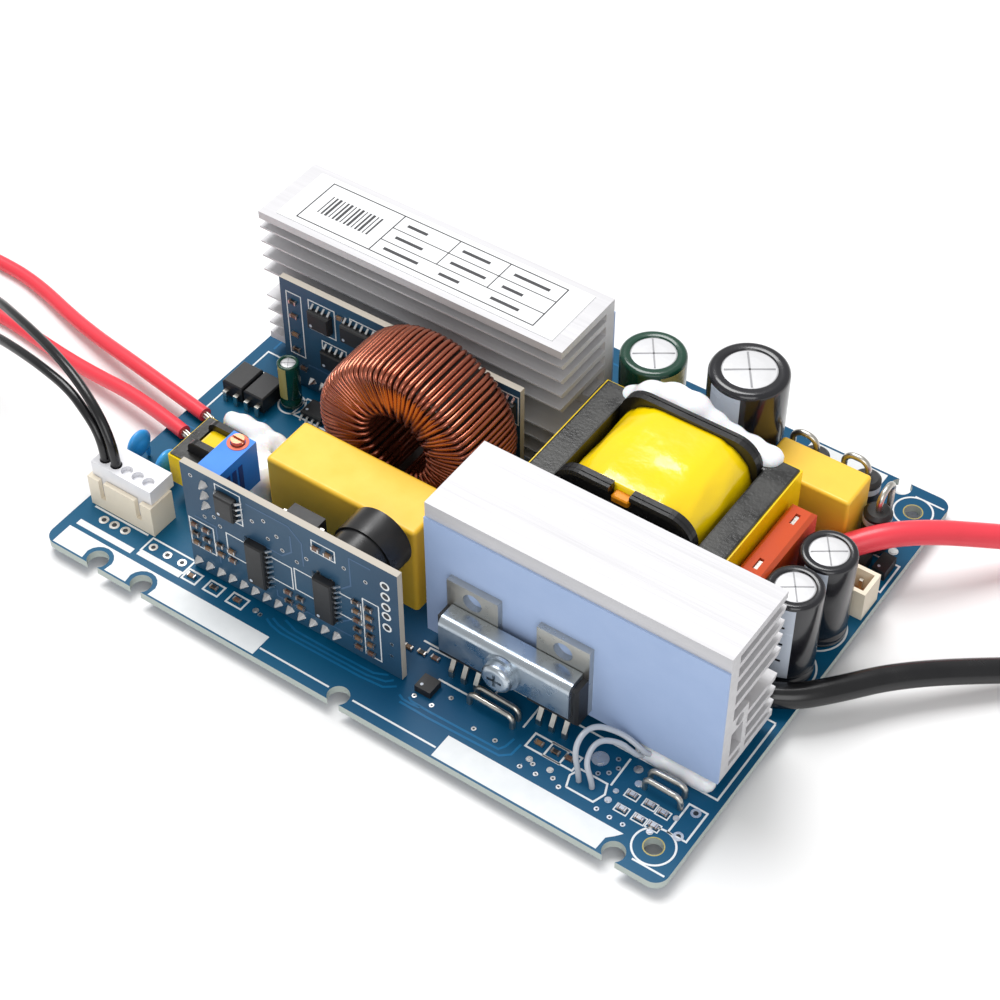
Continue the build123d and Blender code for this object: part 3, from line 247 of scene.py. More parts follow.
# Each finish: colour, second colour, both roughness values, other settings of the group, of the shader
materialValues = {
    "board": ((0.000, 0.100, 0.195), (0.001, 0.052, 0.135), (0.32, 0.42),
              {"Scale": 16.0, "Contrast": 0.9}, {"Specular IOR Level": 0.22}),
    "trace_blue": ((0.006, 0.135, 0.30), (0.004, 0.10, 0.24), (0.32, 0.4), {},
                   {"Specular IOR Level": 0.22}),
    "print_white": ((0.74, 0.76, 0.77), (0.66, 0.69, 0.70), (0.5, 0.6), {"Scale": 400.0}),
    # via_dark is painted shade: a near-black colour standing in for the open holes of vias and pads
    "via_dark": ((0.006, 0.010, 0.016), (0.012, 0.018, 0.026)),
    "card": ((0.026, 0.084, 0.150), (0.014, 0.046, 0.095), (0.34, 0.44),
             {"Scale": 30.0, "Contrast": 0.9}, {"Specular IOR Level": 0.3}),
    "card_trace": ((0.045, 0.11, 0.21), (0.035, 0.09, 0.18)),
    "solder": ((0.66, 0.66, 0.66), (0.5, 0.5, 0.5), (0.22, 0.38), {"Scale": 700.0, "Relief": 0.12},
               {"Metallic": 1.0}),
    "sink": ((0.60, 0.595, 0.61), (0.51, 0.505, 0.52), (0.42, 0.54),
             {"Scale": 700.0, "Relief Scale": 1600.0, "Relief": 0.16, "Stretch": (0.03, 1.0, 1.0)},
             {"Metallic": 0.2, "Specular IOR Level": 0.35}),
    "pad": ((0.36, 0.47, 0.70), (0.32, 0.43, 0.66), (0.6, 0.72), {"Relief": 0.04}),
    "tinned": ((0.60, 0.58, 0.53), (0.48, 0.46, 0.42), (0.25, 0.4), {"Scale": 500.0}, {"Metallic": 1.0}),
    "zinc": ((0.50, 0.55, 0.60), (0.36, 0.42, 0.47), (0.2, 0.38), {"Scale": 260.0, "Relief": 0.08},
             {"Metallic": 1.0}),
    "chip_black": ((0.010, 0.010, 0.011), (0.018, 0.018, 0.019), (0.42, 0.55), {"Relief": 0.1}),
    "small_parts": ((0.20, 0.13, 0.08), (0.14, 0.09, 0.06)),
    "part_brown": ((0.22, 0.13, 0.07), (0.16, 0.09, 0.05)),
    "part_black": ((0.012, 0.012, 0.014), (0.02, 0.02, 0.022)),
    "part_red": ((0.14, 0.07, 0.05), (0.10, 0.05, 0.035)),
    "trimmer_blue": ((0.018, 0.22, 0.78), (0.014, 0.18, 0.68), (0.3, 0.5)),
    # trimmer_dark is painted shade: a darker blue for the shade inside the trimmer's slits
    "trimmer_dark": ((0.004, 0.05, 0.26), (0.003, 0.04, 0.20)),
    "salmon": ((0.72, 0.16, 0.09), (0.62, 0.13, 0.07)),
    "brass": ((0.70, 0.33, 0.20), (0.56, 0.26, 0.15), (0.3, 0.5), {}, {"Metallic": 1.0}),
    "black_plastic": ((0.007, 0.007, 0.008), (0.013, 0.013, 0.014), (0.24, 0.38), {"Relief": 0.06}),
    "copper": ((0.42, 0.125, 0.070), (0.26, 0.066, 0.036), (0.2, 0.32), {"Scale": 260.0},
               {"Metallic": 0.9, "Coat Weight": 0.3}),
    "clear_skin": ((0.62, 0.66, 0.72), (0.56, 0.60, 0.67), (0.16, 0.24), {},
                   {"Transmission Weight": 0.35}),
    "tape_orange": ((0.86, 0.30, 0.0), (0.76, 0.24, 0.0), (0.16, 0.5)),
    "iron_powder": ((0.03, 0.02, 0.016), (0.018, 0.012, 0.010)),
    "ferrite": ((0.009, 0.009, 0.009), (0.034, 0.034, 0.031), (0.22, 0.4),
                {"Scale": 260.0, "Contrast": 0.8, "Relief": 0.2}, {"Coat Weight": 0.25}),
    "tape": ((0.93, 0.66, 0.0), (0.88, 0.56, 0.0), (0.12, 0.24),
             {"Scale": 120.0, "Relief Scale": 230.0, "Relief": 0.8}, {"Coat Weight": 0.5}),
    "film_yellow": ((0.93, 0.57, 0.045), (0.86, 0.50, 0.035), (0.34, 0.5),
                    {"Scale": 220.0, "Relief": 0.08}),
    "can": ((0.66, 0.66, 0.67), (0.52, 0.52, 0.54), (0.28, 0.42), {"Scale": 500.0}, {"Metallic": 0.35}),
    # score_grey is painted shade: a darker grey for the shade in the pressed vent grooves of the can tops
    "score_grey": ((0.30, 0.30, 0.31), (0.22, 0.22, 0.23), (0.4, 0.5), {}, {"Metallic": 0.6}),
    "sleeve_black": ((0.007, 0.007, 0.010), (0.012, 0.012, 0.016), (0.18, 0.26), {},
                     {"Coat Weight": 0.3}),
    "stripe_grey": ((0.50, 0.55, 0.63), (0.44, 0.49, 0.57), (0.22, 0.3)),
    "stripe_gold": ((0.42, 0.36, 0.12), (0.34, 0.29, 0.09), (0.22, 0.3)),
    "sleeve_green": ((0.004, 0.050, 0.028), (0.003, 0.036, 0.020), (0.18, 0.26), {},
                     {"Coat Weight": 0.3}),
    "fuse_red": ((0.82, 0.115, 0.030), (0.72, 0.085, 0.020), (0.12, 0.2), {},
                 {"Transmission Weight": 0.3}),
    "disc_blue": ((0.035, 0.34, 0.78), (0.025, 0.28, 0.68), (0.2, 0.5), {"Relief": 0.12},
                  {"Coat Weight": 0.3}),
    "beige": ((0.80, 0.72, 0.58), (0.74, 0.66, 0.52), (0.38, 0.5)),
    "insert_orange": ((0.62, 0.26, 0.07), (0.52, 0.20, 0.05)),
    "white_plastic": ((0.78, 0.78, 0.80), (0.72, 0.72, 0.75), (0.3, 0.5)),
    "silicone": ((0.82, 0.83, 0.85), (0.76, 0.77, 0.80), (0.1, 0.2),
                 {"Scale": 150.0, "Relief Scale": 320.0, "Relief": 0.3},
                 {"Subsurface Weight": 0.25, "Subsurface Scale": 0.002}),
    "paper": ((0.80, 0.81, 0.82), (0.76, 0.77, 0.78), (0.55, 0.5), {"Scale": 900.0}),
    "ink": ((0.02, 0.02, 0.024), (0.04, 0.04, 0.046), (0.4, 0.5), {"Scale": 900.0}),
    "lead_red": ((0.80, 0.050, 0.075), (0.74, 0.042, 0.062), (0.3, 0.4)),
    "lead_black": ((0.005, 0.005, 0.006), (0.010, 0.010, 0.011), (0.2, 0.28)),
}
materials = {name: mottled(name, *values) for name, values in materialValues.items()}

edgeValues = {
    "board": {"axis": "Z", "color": (0.42, 0.47, 0.44, 1)},
    "card": {"axis": "Y", "color": (0.46, 0.42, 0.36, 1)},
}


def addEdgeColor(material, axis, color):
    # The cut edge of a board shows its pale inside.
    tree = material.node_tree
    shader = tree.nodes["Principled BSDF"]
    source = shader.inputs["Base Color"].links[0].from_socket
    coordinates = tree.nodes.new("ShaderNodeTexCoord")
    parts = tree.nodes.new("ShaderNodeSeparateXYZ")
    tree.links.new(coordinates.outputs["Normal"], parts.inputs["Vector"])
    size = tree.nodes.new("ShaderNodeMath")
    size.operation = "ABSOLUTE"
    tree.links.new(parts.outputs[axis], size.inputs[0])
    mix = tree.nodes.new("ShaderNodeMix")
    mix.data_type = "RGBA"
    mix.inputs[6].default_value = color
    tree.links.new(size.outputs["Value"], mix.inputs["Factor"])
    tree.links.new(source, mix.inputs[7])
    tree.links.new(mix.outputs[2], shader.inputs["Base Color"])


for edgeName, edgeLook in edgeValues.items():
    addEdgeColor(materials[edgeName], edgeLook["axis"], edgeLook["color"])


def dressNodes():
    for part in frame["record"]["subparts"]:
        mesh = nodes[part["node"]].data
        mesh.materials.clear()
        mesh.materials.append(materials[part["material_slot"]])


# Leads
leadValues = {
    "red_output_lead_1": {
        "radius": 1.4, "material": "lead_red", "length": 96.7,
        "route": ((4.9, 39.3, 1.6), (-13.0, 42.3, 1.3), (-32.4, 46.3, -0.9), (-50.0, 51.6, -1.9),
                  (-60.9, 52.4, -2.0), (-75.8, 51.6, -2.0), (-90.0, 49.0, -2.0)),
        "tip": ((4.9, 39.3, 1.6), (6.6, 39.0, 1.6), (6.6, 39.0, 0)),
    },
    "red_output_lead_2": {
        "radius": 1.4, "material": "lead_red", "length": 83.9,
        "route": ((4.7, 33.5, 1.6), (-7.9, 36.1, 1.3), (-24.3, 37.4, -0.8), (-38.5, 39.4, -1.9),
                  (-49.7, 40.7, -2.0), (-64.6, 39.4, -2.0), (-78.0, 35.5, -2.0)),
        "tip": ((4.7, 33.5, 1.6), (6.4, 33.2, 1.6), (6.4, 33.2, 0)),
    },
    "red_input_lead": {
        "radius": 2.25, "material": "lead_red", "length": 64.7,
        "route": ((116.6, 69.4, 4.4), (122.2, 74.6, 7.6), (129.8, 82.2, 8.6), (141.7, 93.7, 4.2),
                  (153.0, 103.5, 0.2), (163.0, 112.0, -1.1)),
        "tip": ((116.6, 69.4, 4.4), (115.2, 68.1, 3.6), (115.2, 68.1, 0)),
    },
    "black_input_lead": {
        "radius": 2.25, "material": "lead_black", "length": 66.3,
        "route": ((115.5, 39.6, 2.6), (122.5, 39.6, 2.7), (129.0, 42.4, 2.9), (134.0, 47.6, 3.0),
                  (141.2, 57.0, 2.6), (154.2, 69.0, 0.9), (166.0, 79.0, -1.1)),
        "tip": ((115.5, 39.6, 2.6), (113.6, 39.6, 2.6), (113.6, 39.6, 0)),
    },
    "thin_black_lead_1": {
        "radius": 0.9, "material": "lead_black", "length": 86.8,
        "route": ((3.95, 14.275, 9.2), (3.95, 14.275, 12.2), (2.4, 15.0, 15.6), (-0.6, 15.8, 18.0),
                  (-5.6, 17.1, 20.2), (-13.0, 18.3, 20.6), (-20.0, 19.9, 19.4), (-27.6, 22.0, 17.0),
                  (-38.0, 25.2, 12.4), (-49.0, 28.5, 6.6), (-60.0, 31.0, 1.2), (-70.0, 31.5, -2.0)),
    },
    "thin_black_lead_2": {
        "radius": 0.9, "material": "lead_black", "length": 105.0,
        "route": ((6.45, 14.275, 9.2), (6.45, 14.275, 12.2), (4.9, 15.1, 16.0), (1.3, 16.5, 19.4),
                  (-5.2, 18.8, 21.8), (-13.0, 21.4, 22.2), (-20.7, 24.1, 21.0), (-28.4, 27.0, 18.9),
                  (-36.0, 30.2, 16.0), (-48.0, 35.0, 10.0), (-60.0, 39.5, 3.5), (-72.0, 43.0, -0.6),
                  (-82.0, 43.6, -2.3)),
    },
}
strandValues = {
    "share": 0.6,
    "strands": 7,
    "twist": 1.1,
}


def curveObject(name, radius, material, resolution=4):
    curve = bpy.data.curves.new(name, "CURVE")
    curve.dimensions = "3D"
    curve.bevel_depth = radius * mm
    curve.bevel_resolution = resolution
    curve.use_fill_caps = True
    curve.materials.append(material)
    return addObject(name, curve)


def addRoute(piece, points):
    spline = piece.data.splines.new("NURBS")
    spline.points.add(len(points) - 1)
    for point, place in zip(spline.points, points):
        point.co = (*at(*place), 1)
    spline.order_u = 3
    spline.use_endpoint_u = True
    spline.resolution_u = 12


def makeTip(name, points, radius):
    # Bare strands, twisted round each other from the insulation down to the board.
    strandRadius = radius * strandValues["share"] / 3
    piece = curveObject(name + "_strands", strandRadius, materials["tinned"], 2)
    start, bend, end = (Vector(point) for point in points)
    inward = (start - bend).normalized()
    for strand in range(strandValues["strands"]):
        turn = strand * 2 * math.pi / (strandValues["strands"] - 1)
        reach = 2 * strandRadius if strand else 0
        side = Vector((0, math.cos(turn), math.sin(turn))) * reach
        turn += strandValues["twist"]
        lower = Vector((math.sin(turn), math.cos(turn), 0)) * reach
        addRoute(piece, (start + inward + side, bend + side, bend + lower, end + lower))
    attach(piece, "board")
    return piece


def makeLeads():
    for name, values in leadValues.items():
        piece = curveObject(name + "_skin", values["radius"], materials[values["material"]], 8)
        addRoute(piece, values["route"])
        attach(piece, "board")
        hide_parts(name)
        if "tip" in values:
            makeTip(name, values["tip"], values["radius"])
    print("leads done")


# Mesh helpers: shapes are drawn in local millimetres, and finishShape puts them in the frame
def onAxis(point, level, axis):
    return (point[0], point[1], level) if axis == "z" else (point[0], level, point[1])


def circle(x, y, radius, sides):
    turns = [2 * math.pi * step / sides for step in range(sides)]
    return [(x + radius * math.cos(turn), y + radius * math.sin(turn)) for turn in turns]


def addPrism(shape, points, low, high, axis="z", kind=0):
    lower = [shape.verts.new(onAxis(point, low, axis)) for point in points]
    upper = [shape.verts.new(onAxis(point, high, axis)) for point in points]
    faces = [shape.faces.new(lower[::-1]), shape.faces.new(upper)]
    for index in range(len(points)):
        after = (index + 1) % len(points)
        faces.append(shape.faces.new((lower[index], lower[after], upper[after], upper[index])))
    for face in faces:
        face.material_index = kind


def addBox(shape, low, high, kind=0):
    addPrism(shape, rectangle(low[0], low[1], high[0], high[1]), low[2], high[2], "z", kind)


def addDisc(shape, x, y, radius, low, high, axis="z", kind=0, sides=20):
    addPrism(shape, circle(x, y, radius, sides), low, high, axis, kind)


def rectangle(left, low, right, high):
    return ((left, low), (right, low), (right, high), (left, high))


def addStrip(shape, pairs, low, high, axis="z", kind=0, closed=False):
    # A flat band between matching points on its two sides.
    rows = []
    for left, right in pairs:
        rows.append([shape.verts.new(onAxis(point, level, axis)) for point, level in
                     ((left, low), (right, low), (right, high), (left, high))])
    count = len(rows)
    for index in range(count if closed else count - 1):
        here, after = rows[index], rows[(index + 1) % count]
        for side in range(4):
            turn = (side + 1) % 4
            shape.faces.new((here[side], here[turn], after[turn], after[side])).material_index = kind
    if not closed:
        shape.faces.new(rows[0][::-1]).material_index = kind
        shape.faces.new(rows[-1]).material_index = kind


def addStroke(shape, points, width, low, high, axis="z", kind=0, closed=False):
    # A line of one width through the points, mitred at its corners.
    sharpest = 0.4
    places = [Vector(point) for point in points]
    count = len(places)
    pairs = []
    for index, here in enumerate(places):
        before = places[index - 1] if index or closed else here
        after = places[(index + 1) % count] if index < count - 1 or closed else here
        runIn = (here - before).normalized() if here != before else (after - here).normalized()
        runOut = (after - here).normalized() if after != here else runIn
        side = Vector((-(runIn + runOut).y, (runIn + runOut).x)).normalized()
        reach = width / 2 / max(sharpest, side.dot(Vector((-runIn.y, runIn.x))))
        pairs.append((here + side * reach, here - side * reach))
    addStrip(shape, pairs, low, high, axis, kind, closed)


def addRing(shape, x, y, inner, outer, low, high, axis="z", kind=0, sides=28, start=0.0, span=360.0):
    closed = span >= 360
    pairs = []
    for step in range(sides if closed else sides + 1):
        turn = math.radians(start + span * step / sides)
        side = Vector((math.cos(turn), math.sin(turn)))
        pairs.append((Vector((x, y)) + side * inner, Vector((x, y)) + side * outer))
    addStrip(shape, pairs, low, high, axis, kind, closed)


def joinRows(shape, rows, kind=0):
    # A skin over rows of points, closed at both ends.
    count = len(rows[0])
    faces = []
    for here, after in zip(rows, rows[1:]):
        for index in range(count):
            turn = (index + 1) % count
            faces.append(shape.faces.new((here[index], here[turn], after[turn], after[index])))
    for face in faces + [shape.faces.new(rows[0]), shape.faces.new(rows[-1])]:
        face.material_index = kind


def addLathe(shape, x, y, profile, kind=0, sides=56):
    rows = [[shape.verts.new((*point, level)) for point in circle(x, y, radius, sides)]
            for radius, level in profile]
    joinRows(shape, rows, kind)


def bevelShape(shape, width, segments=1):
    bmesh.ops.bevel(shape, geom=shape.edges[:], offset=width, segments=segments, affect="EDGES",
                    profile=0.7)


def finishShape(name, shape, kinds, replaced=(), smooth=False, body="board"):
    bmesh.ops.recalc_face_normals(shape, faces=shape.faces[:])
    shape.transform(toFrame)
    mesh = bpy.data.meshes.new(name)
    shape.to_mesh(mesh)
    shape.free()
    for kind in kinds:
        mesh.materials.append(materials[kind])
    if smooth:
        mesh.shade_smooth()
    piece = addObject(name, mesh)
    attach(piece, body)
    if replaced:
        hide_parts(*replaced)
    return piece


def meshPiece(piece):
    # Turns a curve or a piece with modifiers into a plain mesh object at the origin.
    depsgraph = bpy.context.evaluated_depsgraph_get()
    mesh = bpy.data.meshes.new_from_object(piece.evaluated_get(depsgraph), depsgraph=depsgraph)
    name = mesh.name = piece.name
    bpy.data.objects.remove(piece)
    return addObject(name, mesh)


def addRepeated(shape, sample, places, kind=0, size=(1.0, 1.0, 1.0), material="solder"):
    # Adds the sample to the shape at every place, by the shared Geometry Nodes tree.
    points = bpy.data.meshes.new("places")
    points.from_pydata(places, [], [])
    carrier = addObject("places", points)
    mesh = bpy.data.meshes.new("sample")
    sample.to_mesh(mesh)
    sample.free()
    sampleObject = addObject("sample", mesh)
    modifier = carrier.modifiers.new("repeat", "NODES")
    modifier.node_group = repeatGroup
    values = {"Sample": sampleObject, "Size": size, "Material": materials[material]}
    for socket in repeatGroup.interface.items_tree:
        if socket.in_out == "INPUT" and socket.name in values:
            modifier[socket.identifier] = values[socket.name]
    made = meshPiece(carrier)
    before = len(shape.faces)
    shape.from_mesh(made.data)
    shape.faces.ensure_lookup_table()
    for face in shape.faces[before:]:
        face.material_index = kind
    for used in (made, sampleObject):
        bpy.data.objects.remove(used)


def islandBoxes(node):
    # The corners of each separate solid in a CAD node, in local millimetres.
    shape = bmesh.new()
    shape.from_mesh(nodes[node].data)
    bmesh.ops.remove_doubles(shape, verts=shape.verts[:], dist=0.000001)
    shape.verts.ensure_lookup_table()
    seen = set()
    boxes = []
    for first in shape.verts:
        if first.index in seen:
            continue
        seen.add(first.index)
        group, queue = [], [first]
        while queue:
            here = queue.pop()
            group.append((here.co - origin) / mm)
            for edge in here.link_edges:
                other = edge.other_vert(here)
                if other.index not in seen:
                    seen.add(other.index)
                    queue.append(other)
        boxes.append(([min(place[axis] for place in group) for axis in range(3)],
                      [max(place[axis] for place in group) for axis in range(3)]))
    shape.free()
    return boxes


# Print, traces, pads and vias on the main board
boardValues = {
    "line": 0.35,
    "traceWidth": 0.42,
    "traceRise": 0.03,
    "printRise": 0.05,
    "lineStep": 0.01,
    "whiteBlocks": ((2.0, 47.9, 0.35, 4.9, (11.6, 21.7)), (85.5, 121.4, 0.4, 5.3, (120.3,))),
    "notchClear": 2.9,
    "notchLevel": 1.6,
    "thickness": 1.6,
    "mountHoles": ((125.0, 6.0), (125.0, 94.0)),
    "holeRim": (1.62, 1.84, 0.02),
    "via": (0.2, 0.45, 0.07),
    # height of the near-black hole discs, painted shade for the open via and pad holes
    "holeShadeRise": 0.02,
    "padRise": 0.10,
    "padDome": 0.72,
    "ringRise": 0.09,
    "lines": (((48.1, 2.1), (63.0, 2.1)), ((68.0, 2.1), (85.2, 2.1)), ((123.4, 2.1), (129.4, 2.1)),
              ((123.6, 97.6), (129.4, 97.6)), ((70.2, 19.4), (128.7, 19.4), (128.7, 38.0)),
              ((70.4, 38.2), (128.7, 38.2)), ((72.2, 17.4), (72.1, 18.7), (76.6, 18.9)),
              ((77.2, 14.0), (83.4, 14.0)), ((87.0, 18.6), (86.7, 15.9)), ((94.6, 18.9), (94.7, 13.7)),
              ((112.8, 18.4), (113.0, 12.1)), ((107.2, 7.7), (112.4, 7.7), (113.2, 10.0), (112.4, 12.0),
               (107.2, 12.0), (106.4, 10.0), (107.2, 7.7)), ((2.6, 40.6), (2.6, 60.8), (9.6, 60.8)),
              ((23.6, 39.4), (31.0, 39.4), (31.0, 56.2), (23.6, 56.2)), ((71.6, 40.0), (71.6, 60.6)),
              ((114.6, 66.6), (122.6, 66.6)), ((86.0, 94.6), (100.0, 94.6))),
    "boxes": ((97.1, 10.8, 103.7, 13.9), (100.6, 10.9, 106.2, 14.0), (16.4, 7.6, 26.2, 11.0),
              (26.6, 6.7, 29.6, 9.1), (31.4, 6.8, 34.6, 9.2), (36.5, 6.9, 39.9, 9.3),
              (125.4, 9.6, 128.8, 16.2), (17.0, 50.0, 25.4, 54.8), (121.6, 73.6, 129.2, 80.8)),
    "rings": ((125.0, 6.0, 3.6), (125.0, 94.0, 3.6), (94.3, 83.8, 7.1), (75.5, 83.0, 5.7),
              (123.8, 49.6, 5.4), (123.8, 60.3, 5.4), (15.4, 52.0, 2.6)),
    "bands": ((2.6, 15.4, 6.5, 1.3), (16.4, 26.2, 6.9, 1.0), (2.6, 15.2, 11.0, 0.4)),
    "backBlock": (101.2, 117.0, 94.6, 99.5),
    "bareCorner": (115.0, 17.0),
    "frameMargin": 0.3,
    "frameLine": 0.22,
    "traces": (((44.9, 7.9), (46.4, 7.2), (48.8, 6.7), (56.8, 6.8), (65.9, 6.9), (70.4, 7.3), (72.3, 8.7)),
               ((45.7, 8.6), (47.6, 7.9), (50.0, 7.6), (59.2, 7.7), (66.7, 7.8), (70.1, 8.5), (71.1, 9.5)),
               ((47.8, 9.5), (50.7, 8.6), (58.3, 8.6), (67.3, 8.8), (69.7, 9.9)),
               ((73.7, 7.6), (74.8, 7.1), (76.5, 7.1), (78.1, 7.3)),
               ((75.3, 8.1), (76.2, 7.6), (80.0, 7.5), (93.8, 7.7), (94.5, 8.8), (94.8, 10.9)),
               ((74.6, 6.4), (80.6, 6.3), (94.7, 6.7), (96.2, 8.0), (96.4, 10.6)),
               ((2.0, 36.4), (12.0, 36.4), (14.0, 38.4), (14.0, 46.0)),
               ((3.0, 62.0), (3.0, 84.0), (8.0, 89.0), (60.0, 89.0)),
               ((6.0, 82.0), (10.0, 86.0), (58.0, 86.0), (64.0, 80.5)),
               ((10.0, 96.0), (70.0, 96.0), (78.0, 91.0)), ((84.0, 92.0), (90.0, 96.2), (99.0, 96.2)),
               ((110.0, 94.2), (100.0, 91.0)), ((69.0, 42.0), (73.0, 42.0), (73.0, 70.0)),
               ((121.0, 40.4), (126.0, 40.4), (129.0, 43.4))),
    "vias": ((75.9, 8.8), (79.5, 8.8), (81.3, 11.9), (88.1, 8.8), (92.4, 8.8), (98.7, 6.8), (100.2, 8.4),
             (101.7, 7.0), (104.5, 7.9), (106.2, 7.0), (113.6, 6.9), (116.2, 6.7), (118.7, 6.7),
             (111.4, 14.0), (110.0, 12.9), (112.2, 15.6), (111.2, 17.2), (43.4, 7.9), (20.0, 88.0),
             (30.0, 91.5), (44.0, 91.5), (57.0, 93.5), (68.0, 88.6), (85.0, 78.6), (101.0, 90.4),
             (111.0, 79.4), (72.6, 56.0), (17.0, 39.2), (10.6, 43.4)),
    "ringPads": ((17.9, 9.3, 0.85), (21.2, 9.3, 0.85), (24.5, 9.4, 0.85), (6.2, 9.3, 0.95),
                 (8.6, 9.4, 0.95), (11.1, 9.5, 0.95), (127.2, 15.2, 0.9), (127.2, 9.8, 0.9)),
    "pads": ((114.3, 11.6, 0.5), (114.2, 9.4, 0.62), (116.6, 14.9, 0.7), (125.1, 12.6, 0.55),
             (108.7, 15.6, 1.5), (115.0, 17.3, 0.8), (42.2, 8.2, 0.6), (99.2, 8.9, 0.6), (103.2, 9.0, 0.6),
             (123.0, 8.0, 0.6), (126.6, 83.4, 0.9), (68.2, 92.4, 0.9), (64.0, 92.4, 0.9),
             (22.0, 93.4, 0.8), (26.0, 93.4, 0.8)),
}


def notchedBlock(left, right, low, high, notches):
    # A printed block whose front edge runs round the board's notches.
    points = [(left, high), (left, low)]
    clear, level = boardValues["notchClear"], boardValues["notchLevel"]
    for x in notches:
        drop = math.degrees(math.asin((level - low) / clear))
        atEnd = x + clear > right
        turns = [180 + drop, 150, 120, 100] if atEnd else [180 + drop, *range(170, 0, -20), -drop]
        for turn in turns:
            angle = math.radians(turn)
            points.append((x + clear * math.cos(angle), level + clear * math.sin(angle)))
        if atEnd:
            points[-1] = (points[-1][0], high)
            return points
    return points + [(right, low), (right, high)]


def inBareCorner(low, high):
    # The places at the front right corner hold solder only.
    left, back = boardValues["bareCorner"]
    return low[0] > left and high[1] < back


def makeBoardPrint():
    values = boardValues
    line, rise, margin = values["line"], values["printRise"], values["frameMargin"]
    shape = bmesh.new()
    for left, right, low, high, notches in values["whiteBlocks"]:
        addPrism(shape, notchedBlock(left, right, low, high, notches), 0, rise)
    left, right, low, high = values["backBlock"]
    addBox(shape, (left, low, 0), (right, high, rise))
    for points in values["lines"]:
        addStroke(shape, points, line, 0, rise + values["lineStep"])
    for low, high in islandBoxes("board_small_parts"):
        if inBareCorner(low, high):
            corners = rectangle(low[0] - margin, low[1] - margin, high[0] + margin, high[1] + margin)
            addStroke(shape, corners, values["frameLine"], 0, rise, closed=True)
    for box in values["boxes"]:
        addStroke(shape, rectangle(*box), line, 0, rise, closed=True)
    for x, y, radius in values["rings"]:
        addRing(shape, x, y, radius - line / 2, radius + line / 2, 0, rise, sides=40)
    for left, right, level, width in values["bands"]:
        addStroke(shape, ((left, level), (right, level)), width, 0, rise)
    finishShape("board_print", shape, ("print_white",))
    shape = bmesh.new()
    for points in values["traces"]:
        addStroke(shape, points, values["traceWidth"], 0, values["traceRise"])
    finishShape("board_traces", shape, ("trace_blue",))
    print("board print done")


def makeBoardPads():
    values = boardValues
    hole, rim, viaRise = values["via"]
    places = [(x, y, 0) for x, y in values["vias"]]
    shape, ring, holeShade = bmesh.new(), bmesh.new(), bmesh.new()
    addRing(ring, 0, 0, hole, rim, 0, viaRise, sides=16)
    # The near-black disc in each via is painted shade standing in for the open hole.
    addDisc(holeShade, 0, 0, hole, 0, values["holeShadeRise"], sides=12)
    addRepeated(shape, ring, places)
    addRepeated(shape, holeShade, places, 1, material="via_dark")
    for x, y, radius in values["pads"]:
        addDisc(shape, x, y, radius, 0, values["padRise"], sides=24)
        addDisc(shape, x, y, radius * values["padDome"], values["padRise"], 2 * values["padRise"], sides=24)
    for x, y, radius in values["ringPads"]:
        addRing(shape, x, y, radius * 0.5, radius, 0, values["ringRise"], sides=24)
        # The near-black disc in each ring pad is painted shade standing in for its open hole.
        addDisc(shape, x, y, radius * 0.5, 0, values["holeShadeRise"], kind=1, sides=16)
    inner, outer, rimRise = values["holeRim"]
    for x, y in values["mountHoles"]:
        for level in (0, -values["thickness"] - rimRise):
            addRing(shape, x, y, inner, outer, level, level + rimRise, kind=2, sides=40)
    finishShape("board_pads", shape, ("solder", "via_dark", "stripe_gold"))
    print("board pads done")


# Chip parts with silver ends, in the places of the CAD solids
smallPartValues = {
    "cap": 0.22,
    "inset": 0.05,
    "bevel": 0.06,
    "kinds": ("part_brown", "part_black", "part_red", "solder"),
}


def makeSmallParts():
    inset = smallPartValues["inset"]
    for node in ("board_small_parts", "card_small_parts"):
        shape = bmesh.new()
        for index, (low, high) in enumerate(islandBoxes(node)):
            cap = (high[0] - low[0]) * smallPartValues["cap"]
            bare = node == "board_small_parts" and inBareCorner(low, high)
            addBox(shape, (low[0] + cap, low[1] + inset, low[2] + inset),
                   (high[0] - cap, high[1] - inset, high[2] - inset), 3 if bare else index % 3)
            addBox(shape, low, (low[0] + cap, high[1], high[2]), 3)
            addBox(shape, (high[0] - cap, low[1], low[2]), high, 3)
        bevelShape(shape, smallPartValues["bevel"])
        finishShape(node + "_detail", shape, smallPartValues["kinds"], (node,))
    print("small parts done")


# Solder joints under the board, a smooth cone for each lead
jointValues = {
    "profile": ((1.0, 0.0), (0.86, 0.22), (0.60, 0.5), (0.44, 1.0), (0.38, 1.55), (0.22, 1.8)),
    "height": 1.8,
    "sides": 14,
}


def makeSolderJoints():
    shape, joint = bmesh.new(), bmesh.new()
    addLathe(joint, 0, 0, [(radius, -drop) for radius, drop in jointValues["profile"]],
             sides=jointValues["sides"])
    stubs = islandBoxes("solder_joints")
    places = [((low[0] + high[0]) / 2, (low[1] + high[1]) / 2, high[2]) for low, high in stubs]
    low, high = stubs[0]
    width = (high[0] - low[0]) / 2
    addRepeated(shape, joint, places, size=(width, width, (high[2] - low[2]) / jointValues["height"]))
    finishShape("solder_joints_smooth", shape, ("solder",), ("solder_joints",), smooth=True)
    print("solder joints done")


# Toroid choke: one copper wire wound through the ring
toroidValues = {
    "centre": (49.0, 47.45, 17.4),
    "turns": 84,
    "wire": 0.46,
    "outer": 16.85,
    "inner": 6.45,
    "layer": 1.02,
    "half": 7.38,
    "corner": 1.8,
    "bend": 2.2,
    "uneven": 0.10,
    "waves": (1.7, 2.3),
    "wobble": 0.2,
    "stagger": 0.06,
    "drift": 0.5,
    "start": -78.0,
    "span": 336.0,
    "legs": ((45.0, 43.5), (53.0, 51.4)),
}


